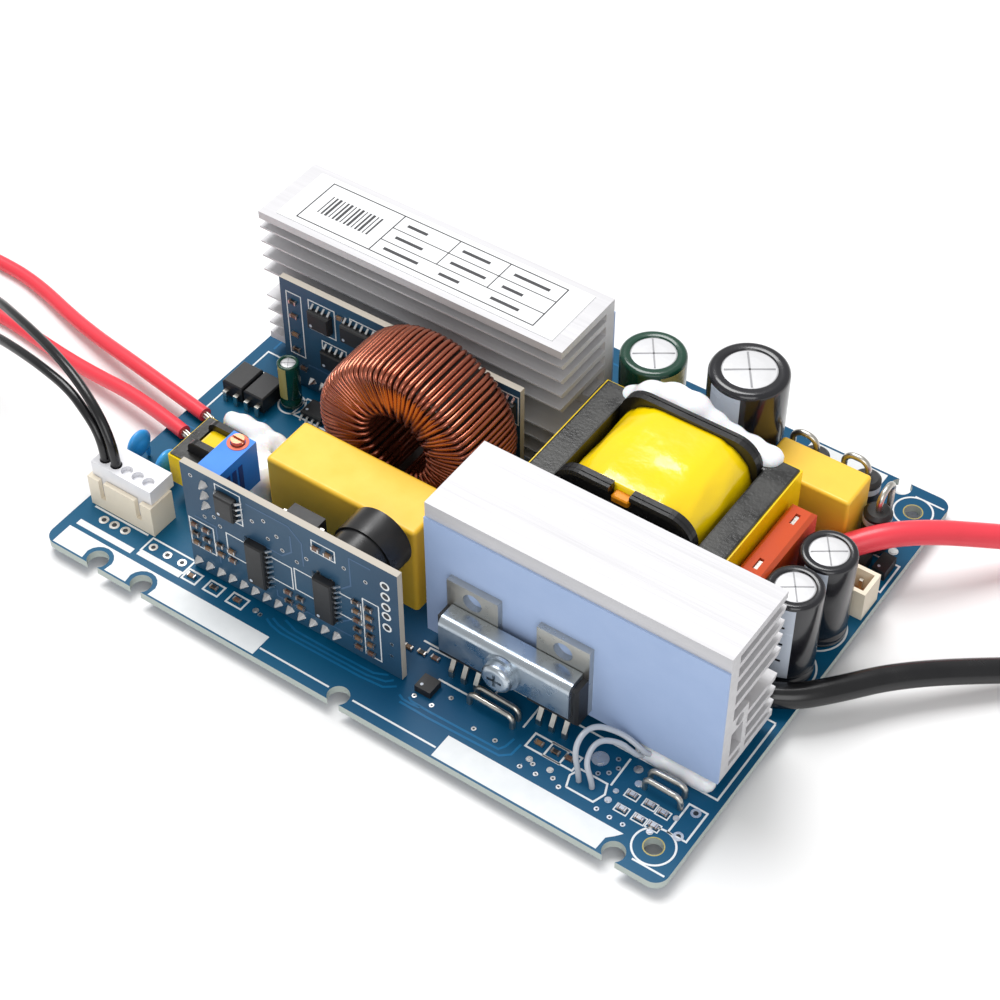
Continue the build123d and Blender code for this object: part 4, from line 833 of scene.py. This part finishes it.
def makeToroid():
    values = toroidValues
    cx, cy, cz = values["centre"]
    half, corner, bend, uneven = values["half"], values["corner"], values["bend"], values["uneven"]
    step = math.radians(values["span"] / values["turns"])
    drift = step * values["drift"]
    turnWave, depthWave = values["waves"]
    inside = ((1.4, 0.1), (0.2, 0.9), (0, corner + 0.6))
    path = []

    def addPoint(turn, radius, depth):
        path.append((cx + radius * math.cos(turn), cy + depth, cz + radius * math.sin(turn)))

    for index in range(values["turns"]):
        turn = math.radians(values["start"]) + index * step + step * uneven * math.sin(index * turnWave)
        inner = values["inner"] + values["layer"] * (index % 3)
        outer = values["outer"] - values["stagger"] * (index % 2)
        middle = (inner + outer) / 2
        wobble = values["wobble"] * uneven * math.sin(index * depthWave)
        for depth in (-half + corner, 0.0, half - corner):
            addPoint(turn, outer, depth)
        addPoint(turn, outer - corner * 0.5, half - 0.2)
        addPoint(turn, outer - bend, half + wobble)
        addPoint(turn + drift * 0.5, middle, half)
        for reach, depth in inside:
            addPoint(turn + drift, inner + reach, half - depth)
        for reach, depth in inside[::-1]:
            addPoint(turn + drift, inner + reach, -half + depth)
        addPoint(turn + drift * 1.5, middle, -half)
        addPoint(turn + step, outer - bend, -half)
        addPoint(turn + step, outer - corner * 0.5, -half + 0.2)
    piece = curveObject("toroid_wire", values["wire"], materials["copper"], 2)
    addRoute(piece, path)
    piece.data.splines[0].resolution_u = 2
    for (x, y), end in zip(values["legs"], (path[0], path[-1])):
        addRoute(piece, (end, (end[0] * 0.5 + x * 0.5, y, 1.4), (x, y, 1.0), (x, y, 0)))
    made = meshPiece(piece)
    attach(made, "board")
    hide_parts("toroid_winding")
    print("toroid done", len(made.data.polygons))


# Silicone and dipped discs: rounded lumps joined into one skin
lumpValues = {
    "silicone_skin": {
        "material": "silicone", "slot": "silicone", "node": "silicone_blobs", "voxel": 0.45,
        "rounds": 26, "swell": 1.10,
        "lumps": (
            (114.6, 20.6, 1.3, 2.2, 1.9, 2.0), (117.4, 20.4, 1.5, 2.4, 2.0, 2.0),
            (120.4, 20.6, 1.3, 2.6, 1.8, 1.9), (123.2, 20.5, 1.4, 2.3, 2.0, 2.1),
            (125.6, 20.6, 1.2, 2.0, 1.9, 1.9), (23.6, 27.0, 12.4, 2.4, 3.6, 2.0),
            (26.2, 25.2, 12.4, 2.6, 2.7, 2.1), (26.6, 28.8, 12.3, 2.6, 2.8, 2.2),
            (17.4, 33.8, 9.8, 2.2, 1.7, 4.2), (20.4, 34.0, 10.4, 2.8, 1.9, 4.2),
            (24.2, 33.9, 10.4, 2.8, 1.9, 4.4), (28.0, 33.6, 10.0, 2.8, 1.9, 4.6),
            (19.6, 34.0, 4.6, 4.2, 1.7, 5.4), (26.4, 34.0, 4.6, 5.0, 1.7, 5.4),
            (31.2, 32.6, 7.0, 2.1, 2.6, 7.2), (22.4, 32.4, 12.0, 5.4, 1.5, 2.0),
            (30.4, 27.0, 11.2, 3.0, 4.2, 3.2), (30.5, 24.6, 6.0, 2.7, 2.4, 6.4),
            (30.5, 27.2, 4.0, 2.8, 3.4, 5.4), (30.5, 29.6, 5.6, 2.7, 2.2, 6.4),
            (79.6, 72.2, 8.0, 2.6, 2.2, 9.4), (83.4, 72.4, 10.0, 3.2, 2.4, 11.6),
            (87.4, 72.3, 10.6, 3.2, 2.3, 12.6), (91.4, 72.3, 10.4, 3.2, 2.4, 12.0),
            (95.2, 72.2, 9.4, 3.0, 2.3, 11.0), (98.6, 72.0, 8.0, 2.6, 2.0, 9.4),
            (79.8, 69.4, 23.4, 2.6, 3.0, 2.0), (83.2, 69.8, 25.0, 3.2, 3.6, 2.9),
            (87.2, 70.0, 26.2, 3.4, 3.8, 3.2), (91.2, 70.0, 26.2, 3.3, 3.9, 3.0),
            (95.2, 69.8, 25.0, 3.0, 3.5, 2.3), (99.2, 69.6, 24.6, 2.8, 3.2, 1.8),
            (103.2, 69.4, 24.6, 2.8, 3.0, 1.8), (107.0, 69.2, 24.6, 2.6, 2.8, 1.7),
            (84.0, 71.8, 19.6, 3.6, 2.1, 5.8), (90.0, 71.9, 20.0, 4.0, 2.2, 6.4),
            (96.6, 71.6, 18.6, 3.6, 1.9, 6.0), (104.6, 70.6, 22.8, 4.6, 1.0, 2.4),
        ),
    },
    "disc_skins": {
        "material": "disc_blue", "slot": "disc_blue", "node": "disc_capacitors", "voxel": 0.2,
        "rounds": 2, "swell": 1.0,
        "lumps": (
            (2.2, 24.2, 4.8, 1.15, 3.0, 2.95), (2.3, 24.1, 4.6, 1.3, 2.2, 2.2),
            (2.2, 22.2, 2.0, 0.5, 0.55, 2.2), (2.2, 26.2, 2.0, 0.5, 0.55, 2.2),
            (9.6, 23.2, 4.8, 1.15, 3.0, 2.95), (9.5, 23.3, 4.6, 1.3, 2.2, 2.2),
            (9.6, 21.2, 2.0, 0.5, 0.55, 2.2), (9.6, 25.2, 2.0, 0.5, 0.55, 2.2),
        ),
    },
}


def makeLumps():
    for name, values in lumpValues.items():
        shape = bmesh.new()
        for x, y, z, rx, ry, rz in values["lumps"]:
            place = Matrix.Translation((x, y, z)) @ Matrix.Diagonal((rx * values["swell"], ry, rz, 1))
            bmesh.ops.create_icosphere(shape, subdivisions=3, radius=1, matrix=place)
        mesh = bpy.data.meshes.new(name)
        shape.to_mesh(mesh)
        shape.free()
        piece = addObject(name, mesh)
        join = piece.modifiers.new("join", "REMESH")
        join.mode = "VOXEL"
        join.voxel_size = values["voxel"]
        soften = piece.modifiers.new("soften", "SMOOTH")
        soften.iterations = values["rounds"]
        made = meshPiece(piece)
        for vertex in made.data.vertices:
            vertex.co.z = max(vertex.co.z, 0)
        made.data.transform(toFrame)
        made.data.materials.append(materials[values["material"]])
        made.data.shade_smooth()
        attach(made, "board")
        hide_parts(values["node"])
    print("silicone and discs done")


# Round capacitors: lathed sleeves and cans with scored tops and stripes
capacitorValues = {
    "places": (
        {"centre": (94.4, 83.9), "radius": 7.3, "height": 27.0, "green": False, "facing": 262},
        {"centre": (75.5, 83.0), "radius": 6.2, "height": 21.5, "green": True, "facing": 340},
        {"centre": (123.7, 49.55), "radius": 5.0, "height": 20.8, "green": False, "facing": 276},
        {"centre": (124.1, 60.4), "radius": 5.0, "height": 19.8, "green": False, "facing": 272},
        {"centre": (15.4, 52.0), "radius": 2.1, "height": 11.0, "green": True, "facing": 268},
    ),
    "foot": ((-0.3, 0.3), (0, 0.6), (0, 2.2), (-0.22, 2.6), (0, 3.0)),
    "rim": 0.31,
    "round": 0.15,
    "canDrop": 0.28,
    "lead": (0.4, 0.35, 0.32),
    "stripeLow": 3.1,
    "stripeSpan": 52.0,
    "markSpan": 18.0,
    "markSmallest": 3.0,
    "markLevels": (0.34, 0.54, 0.74),
    "markHeight": 0.5,
    "score": 0.3,
    "scoreTurns": (35, 125),
    "scoreReach": 0.9,
    "scoreLevels": (0.02, 0.09),
}


def makeCapacitors():
    values = capacitorValues
    sleeves = {False: bmesh.new(), True: bmesh.new()}
    cans, stripes, scores = bmesh.new(), bmesh.new(), bmesh.new()
    for place in values["places"]:
        x, y = place["centre"]
        radius, height, facing = place["radius"], place["height"], place["facing"]
        rim = radius * (1 - values["rim"])
        bend = radius * values["round"]
        profile = [(radius + reach, level) for reach, level in values["foot"]]
        for step in range(7):
            turn = math.radians(15 * step)
            profile.append((radius - bend + bend * math.cos(turn), height - bend + bend * math.sin(turn)))
        profile += [(rim + 0.15, height), (rim, height - 0.1), (rim, height - 0.45)]
        addLathe(sleeves[place["green"]], x, y, profile)
        top = height - values["canDrop"]
        addLathe(cans, x, y, ((rim, top - 0.1), (rim - 0.25, top), (rim * 0.6, top + 0.04),
                              (0.05, top + 0.06)))
        leadShare, leadRadius, leadHeight = values["lead"]
        for side in (-leadShare, leadShare):
            addDisc(cans, x + side * radius, y, leadRadius, 0, leadHeight, sides=12)
        span = values["stripeSpan"]
        addRing(stripes, x, y, radius - 0.02, radius + 0.04, values["stripeLow"], height - bend,
                kind=1 if place["green"] else 0, sides=18, start=facing - span / 2, span=span)
        if radius > values["markSmallest"]:
            span = values["markSpan"]
            for share in values["markLevels"]:
                level = height * share
                addRing(stripes, x, y, radius + 0.03, radius + 0.06, level, level + values["markHeight"],
                        kind=2, sides=6, start=facing - span / 2, span=span)
        middle = Vector((x, y))
        # The vent scores are raised darker grey lines: painted shade standing in for the shade in the
        # grooves.
        for turn in map(math.radians, values["scoreTurns"]):
            side = Vector((math.cos(turn), math.sin(turn))) * rim * values["scoreReach"]
            addStroke(scores, (middle - side, middle + side), values["score"] * radius / 6,
                      *(top + level for level in values["scoreLevels"]))
    for name, green, node in (("dark", False, "black"), ("green", True, "green")):
        kind = "sleeve_" + node
        finishShape("capacitor_sleeves_" + name, sleeves[green], (kind,),
                    (node + "_capacitor_sleeves",), smooth=True)
    finishShape("capacitor_cans", cans, ("can",), ("electrolytic_cans",))
    finishShape("capacitor_stripes", stripes, ("stripe_grey", "stripe_gold", "sleeve_black"))
    finishShape("capacitor_scores", scores, ("score_grey",))
    print("capacitors done")


# Transformer: ferrite frame, bobbin with folded flanges, wrinkled tape over the winding
transformerValues = {
    "core": (74.3, 112.9, 40.8, 69.6, 12.0, 24.6),
    "coreBevel": 0.35,
    "leg": 5.2,
    "yoke": 3.6,
    "post": (93.6, 18.3, 5.0),
    "band": 0.3,
    "flange": (79.9, 107.3, 7.0, 29.4),
    "flangeRound": 5.0,
    "flangeWall": 1.3,
    "lip": 1.0,
    "lipReach": 0.7,
    "lipRoot": 0.2,
    "slot": (90.9, 94.9, 26.4),
    "tongue": (0.3, 0.5, 2.2, 0.2, 1.3, 0.25),
    "winding": (80.3, 106.9, 8.0, 28.9),
    "windingRound": 8.0,
    "windingSteps": 30,
    "sag": 0.35,
    "wrinkle": 0.26,
    "folds": ((0.30, 0.11, 1.6), (0.9, 0.16, 1.0)),
}


def roundedOutline(left, right, low, high, rounding, steps=8):
    points = []
    for cx, cz, start in ((right - rounding, high - rounding, 0), (left + rounding, high - rounding, 90),
                          (left + rounding, low + rounding, 180), (right - rounding, low + rounding, 270)):
        for step in range(steps + 1):
            turn = math.radians(start + 90 * step / steps)
            points.append((cx + rounding * math.cos(turn), cz + rounding * math.sin(turn)))
    return points


def makeTransformerCore():
    values = transformerValues
    left, right, front, back, low, high = values["core"]
    leg, yoke, band = values["leg"], values["yoke"], values["band"]
    outer = rectangle(left, front, right, back)
    inner = rectangle(left + leg, front + yoke, right - leg, back - yoke)
    shape = bmesh.new()
    addStrip(shape, list(zip(inner, outer)), low, high, closed=True)
    bevelShape(shape, values["coreBevel"], 2)
    postX, postZ, postRadius = values["post"]
    addDisc(shape, postX, postZ, postRadius, front + yoke - 0.1, back - yoke + 0.1, "y", sides=32)
    finishShape("transformer_frame", shape, ("ferrite",), ("transformer_core",))
    shape = bmesh.new()
    wrapped = rectangle(left - band, front - band, right + band, back + band)
    addStrip(shape, list(zip(outer, wrapped)), low + band, high - values["coreBevel"], closed=True)
    finishShape("transformer_band", shape, ("tape",), ("transformer_tape",))


def makeBobbin(front, back, low):
    # The flanges stand between the yokes; the front one has a slot in its upper edge.
    values = transformerValues
    yoke, wall, lip = values["yoke"], values["flangeWall"], values["lip"]
    left, right, bottom, top = values["flange"]
    slotLeft, slotRight, slotLow = values["slot"]
    outline = roundedOutline(left, right, bottom, top, values["flangeRound"])
    slot = [(slotRight, top), (slotRight, slotLow), (slotLeft, slotLow), (slotLeft, top)]
    shape = bmesh.new()
    addPrism(shape, outline[:9] + slot + outline[9:], front, front + wall, "y")
    addPrism(shape, outline, back - wall, back, "y")
    inside = roundedOutline(left + lip, right - lip, bottom + lip, top - lip, values["flangeRound"] - lip)
    rightLip = list(zip(inside[:9], outline[:9])) + [((slotRight, top - lip), (slotRight, top))]
    leftLip = [((slotLeft, top - lip), (slotLeft, top))] + list(zip(inside[9:18], outline[9:18]))
    reach, root = values["lipReach"], values["lipRoot"]
    for pairs in (rightLip, leftLip):
        addStrip(shape, pairs, front - reach, front + root, "y")
    addStrip(shape, list(zip(inside[:18], outline[:18])), back - root, back + reach, "y")
    addBox(shape, (left, front - yoke, 0), (right, front + wall, low))
    addBox(shape, (left, back - wall, 0), (right, back + yoke, low))
    finishShape("transformer_bobbin_detail", shape, ("black_plastic",),
                ("transformer_bobbin",))


def makeWindingTape(start, end):
    # Tape round the winding, pressed in towards the flanges and wrinkled along its length.
    values = transformerValues
    left, right, low, high = values["winding"]
    section = roundedOutline(left, right, low, high, values["windingRound"], 14)
    middle = Vector(((left + right) / 2, (low + high) / 2))
    steps = values["windingSteps"]
    shape = bmesh.new()
    rows = []
    for step in range(steps + 1):
        y = start + (end - start) * step / steps
        sag = values["sag"] * (abs(2 * step / steps - 1) ** 3)
        row = []
        for x, z in section:
            out = (Vector((x, z)) - middle).normalized()
            wave = sum(noise.noise(Vector((x * across, y * along, z * across))) * share
                       for across, along, share in values["folds"])
            reach = values["wrinkle"] * wave - sag
            row.append(shape.verts.new((x + out.x * reach, y, z + out.y * reach)))
        rows.append(row)
    joinRows(shape, rows)
    finishShape("transformer_winding_tape", shape, ("tape",), ("transformer_winding",), smooth=True)


def makeTongue(front):
    # The end of the tape, folded out through the front flange's slot.
    left, right, low = transformerValues["slot"]
    inset, out, into, drop, rise, bevel = transformerValues["tongue"]
    shape = bmesh.new()
    addBox(shape, (left + inset, front - out, low - drop), (right - inset, front + into, low + rise))
    bevelShape(shape, bevel)
    finishShape("transformer_tongue", shape, ("tape_orange",))


def makeTransformer():
    front, back, low = transformerValues["core"][2:5]
    front += transformerValues["yoke"]
    back -= transformerValues["yoke"]
    wall = transformerValues["flangeWall"]
    makeTransformerCore()
    makeBobbin(front, back, low)
    makeWindingTape(front + wall, back - wall)
    makeTongue(front)
    print("transformer done")


# Thin clear leads that rise from the board and go into the silicone
sensorValues = {
    "radius": 0.5,
    "routes": (
        ((108.2, 9.9, 0), (108.2, 9.9, 1.2), (106.4, 10.8, 6.8), (106.6, 15.6, 7.8), (110.6, 18.4, 5.6),
         (114.0, 18.7, 4.0), (115.6, 19.0, 2.5), (116.0, 20.0, 2.2)),
        ((110.7, 10.0, 0), (110.7, 10.0, 1.2), (108.6, 10.9, 4.6), (108.4, 14.8, 5.9), (111.4, 17.2, 4.8),
         (113.6, 17.6, 3.2), (114.6, 18.6, 1.8), (114.8, 20.0, 1.6)),
    ),
}


def makeSensorLeads():
    piece = curveObject("sensor_lead_skins", sensorValues["radius"], materials["clear_skin"], 4)
    for route in sensorValues["routes"]:
        addRoute(piece, route)
    made = meshPiece(piece)
    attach(made, "board")
    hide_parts("sensor_leads")
    print("sensor leads done")


# Printed frame, cells and even bars on the paper label
labelValues = {
    "levels": (34.55, 34.58),
    "frame": (9.6, 64.6, 61.6, 75.8),
    "frameLine": 0.24,
    "cellLine": 0.2,
    "columns": (26.0, 38.4, 49.4),
    "rows": (68.2, 71.9),
    "dashRows": (66.4, 70.0, 73.8),
    "dashColumns": (28.0, 40.2, 51.4),
    "dash": (7.6, 1.6, 0.7),
    "bars": 14,
    "barPlace": (12.0, 67.6, 72.8),
    "barPitch": 0.85,
    "barWidth": (0.22, 0.16),
}


def makeLabel():
    values = labelValues
    low, high = values["levels"]
    left, front, right, back = values["frame"]
    shape = bmesh.new()
    addStroke(shape, rectangle(left, front, right, back), values["frameLine"], low, high, closed=True)
    first, *others = values["columns"]
    addStroke(shape, ((first, front + 0.1), (first, back - 0.1)), values["frameLine"], low, high)
    for x in others:
        addStroke(shape, ((x, values["rows"][0]), (x, back - 0.1)), values["cellLine"], low, high)
    for y in values["rows"]:
        addStroke(shape, ((first + 0.1, y), (right - 0.1, y)), values["cellLine"], low, high)
    longest, shorter, dashWidth = values["dash"]
    for row, y in enumerate(values["dashRows"]):
        for column, x in enumerate(values["dashColumns"]):
            length = longest - shorter * ((row + 2 * column) % 3)
            addStroke(shape, ((x, y), (x + length, y)), dashWidth, low, high)
    barLeft, barFront, barBack = values["barPlace"]
    thin, wider = values["barWidth"]
    for index in range(values["bars"]):
        x = barLeft + index * values["barPitch"]
        addStroke(shape, ((x, barFront), (x, barBack)), thin + wider * (index % 3), low, high)
    finishShape("label_print", shape, ("ink",))
    print("label done")


# Print, traces and pads on the two upright cards
cardValues = {
    "control": {
        "face": 10.2,
        "boxes": ((34.4, 18.4, 39.8, 25.6), (35.6, 8.8, 49.8, 14.2), (50.4, 9.2, 64.4, 14.6),
                  (64.9, 2.2, 68.2, 16.4), (27.2, 6.4, 32.6, 13.2), (54.8, 21.8, 59.6, 24.4)),
        "rings": ((69.8, 22.6), (69.8, 20.0), (69.8, 17.4), (69.8, 15.1), (69.8, 12.2)),
        "traces": (((41.0, 24.6), (50.0, 24.6), (52.6, 22.0), (52.6, 16.4)),
                   ((40.4, 16.2), (48.0, 16.2), (50.2, 18.4), (50.2, 22.4)),
                   ((28.6, 14.2), (33.4, 14.2), (33.4, 5.0)), ((46.0, 6.2), (46.0, 4.6), (62.0, 4.6)),
                   ((60.6, 16.0), (62.6, 18.0), (62.6, 24.8), (67.0, 24.8)),
                   ((54.0, 7.2), (60.0, 7.2), (62.0, 9.0))),
        "vias": ((42.0, 21.0), (44.6, 22.6), (47.2, 20.4), (51.2, 16.6), (53.4, 18.8), (33.2, 16.6),
                 (31.0, 15.4), (61.4, 21.6), (65.8, 21.0), (48.2, 17.6), (34.4, 15.0), (63.4, 7.6),
                 (45.2, 18.6), (55.8, 17.0), (58.4, 16.6), (41.4, 5.8), (58.0, 5.8), (29.0, 24.4),
                 (70.6, 8.4), (70.4, 5.2)),
    },
    "driver": {
        "face": 57.1,
        "boxes": ((17.2, 16.6, 23.2, 23.6), (26.8, 17.6, 33.6, 23.8), (19.8, 8.2, 25.4, 14.8),
                  (58.4, 17.6, 63.8, 24.2), (12.0, 8.0, 15.4, 23.2)),
        "rings": (),
        "traces": (((25.0, 12.0), (34.0, 12.0), (38.0, 16.0), (55.0, 16.0)), ((35.0, 22.0), (56.0, 22.0)),
                   ((35.0, 20.0), (50.0, 20.0), (54.0, 18.0)), ((16.0, 6.6), (52.0, 6.6))),
        "vias": ((36.0, 24.0), (40.0, 18.4), (44.0, 13.6), (48.0, 18.4), (52.0, 13.0), (30.0, 14.8),
                 (56.0, 9.0)),
    },
}
cardPrintValues = {
    "boxLine": 0.22,
    "printRise": 0.05,
    "ring": (0.62, 0.95, 0.06),
    "trace": (0.3, 0.03),
    "via": (0.28, 0.42, 0.04),
}


def makeCardPrint():
    common = cardPrintValues
    ringInner, ringOuter, ringRise = common["ring"]
    traceWidth, traceRise = common["trace"]
    viaInner, viaOuter, viaRise = common["via"]
    for name, values in cardValues.items():
        face = values["face"]
        shape = bmesh.new()
        for box in values["boxes"]:
            addStroke(shape, rectangle(*box), common["boxLine"], face - common["printRise"], face, "y",
                      closed=True)
        for x, z in values["rings"]:
            addRing(shape, x, z, ringInner, ringOuter, face - ringRise, face, "y", sides=24)
            # The near-black disc in each ring is painted shade standing in for the open hole.
            addDisc(shape, x, z, ringInner, face - traceRise, face, "y", kind=1)
        for points in values["traces"]:
            addStroke(shape, points, traceWidth, face - traceRise, face, "y", kind=2)
        places = [(x, face, z) for x, z in values["vias"]]
        holeShade, ring = bmesh.new(), bmesh.new()
        # The near-black via discs are painted shade standing in for the open holes.
        addDisc(holeShade, 0, 0, viaInner, -viaRise, 0, "y", sides=12)
        addRing(ring, 0, 0, viaInner, viaOuter, -viaRise, 0, "y", sides=12)
        addRepeated(shape, holeShade, places, 1, material="via_dark")
        addRepeated(shape, ring, places, 3)
        finishShape(name + "_card_print", shape, ("print_white", "via_dark", "card_trace", "solder"))
    print("card print done")


# Fuse links, header insert, diode bands, trimmer and chip marks
trimValues = {
    "linkStarts": (49.2, 61.3),
    "link": ((115.78, 0.15, 19.55), (116.62, 2.45, 20.2)),
    "linkBevel": 0.08,
    "diodes": ((107.0, 88.5), (117.4, 88.6), (122.9, 82.5)),
    "diodeBand": (2.58, 2.64, 6.9, 8.2),
    "insert": ((124.85, 66.85, 1.2), (128.65, 70.95, 1.9)),
    "insertHoles": ((126.75, 67.65), (126.75, 70.15)),
    "insertHole": (0.55, 1.9, 2.3),
    "screwRing": (31.815, 19.6, 1.35, 1.95, 26.0, 26.12),
    "slits": 3,
    "slit": ((34.23, 13.2, 18.2), (34.33, 14.2, 24.0)),
    "slitPitch": 1.6,
    "dotInset": 0.9,
    "dotRise": 0.02,
    "cardDot": 0.32,
    "boardDot": 0.28,
}


def makeTrim():
    values = trimValues
    shape = bmesh.new()
    low, high = values["link"]
    for start in values["linkStarts"]:
        addBox(shape, (low[0], start + low[1], low[2]), (high[0], start + high[1], high[2]))
    bevelShape(shape, values["linkBevel"])
    finishShape("fuse_links", shape, ("tinned",))
    shape = bmesh.new()
    for x, y in values["diodes"]:
        addRing(shape, x, y, *values["diodeBand"], sides=36)
    finishShape("diode_bands", shape, ("stripe_grey",))
    shape = bmesh.new()
    addBox(shape, *values["insert"])
    for x, y in values["insertHoles"]:
        addDisc(shape, x, y, *values["insertHole"], sides=16)
    finishShape("header_insert", shape, ("insert_orange",))
    shape = bmesh.new()
    addRing(shape, *values["screwRing"])
    # The slits are thin darker blue strips: painted shade standing in for the shade inside them.
    low, high = values["slit"]
    for index in range(values["slits"]):
        step = values["slitPitch"] * index
        addBox(shape, (low[0], low[1] + step, low[2]), (high[0], high[1] + step, high[2]), 1)
    finishShape("trimmer_trim", shape, ("salmon", "trimmer_dark"))
    print("trim done")


def makeChipDots():
    # The dot at the first pin of every chip.
    inset, rise = trimValues["dotInset"], trimValues["dotRise"]
    cardChips = islandBoxes("control_board_chips") + islandBoxes("driver_board_chips")
    onCards = [(low[0] + inset, low[1], low[2] + inset) for low, high in cardChips]
    onBoard = [(low[0] + inset, low[1] + inset, high[2]) for low, high in islandBoxes("board_chips")]
    shape, cardDot, boardDot = bmesh.new(), bmesh.new(), bmesh.new()
    addDisc(cardDot, 0, 0, 1, -rise, 0, "y", sides=16)
    addDisc(boardDot, 0, 0, 1, 0, rise, sides=16)
    cardRadius, boardRadius = trimValues["cardDot"], trimValues["boardDot"]
    addRepeated(shape, cardDot, onCards, size=(cardRadius, 1.0, cardRadius), material="stripe_grey")
    addRepeated(shape, boardDot, onBoard, size=(boardRadius, boardRadius, 1.0), material="stripe_grey")
    finishShape("chip_dots", shape, ("stripe_grey",))
    print("chip dots done")


makeCamera()
makeFloor()
makeLights()
dressNodes()
makeLeads()
makeBoardPrint()
makeBoardPads()
makeSmallParts()
makeSolderJoints()
makeToroid()
makeLumps()
makeCapacitors()
makeTransformer()
makeSensorLeads()
makeLabel()
makeCardPrint()
makeTrim()
makeChipDots()
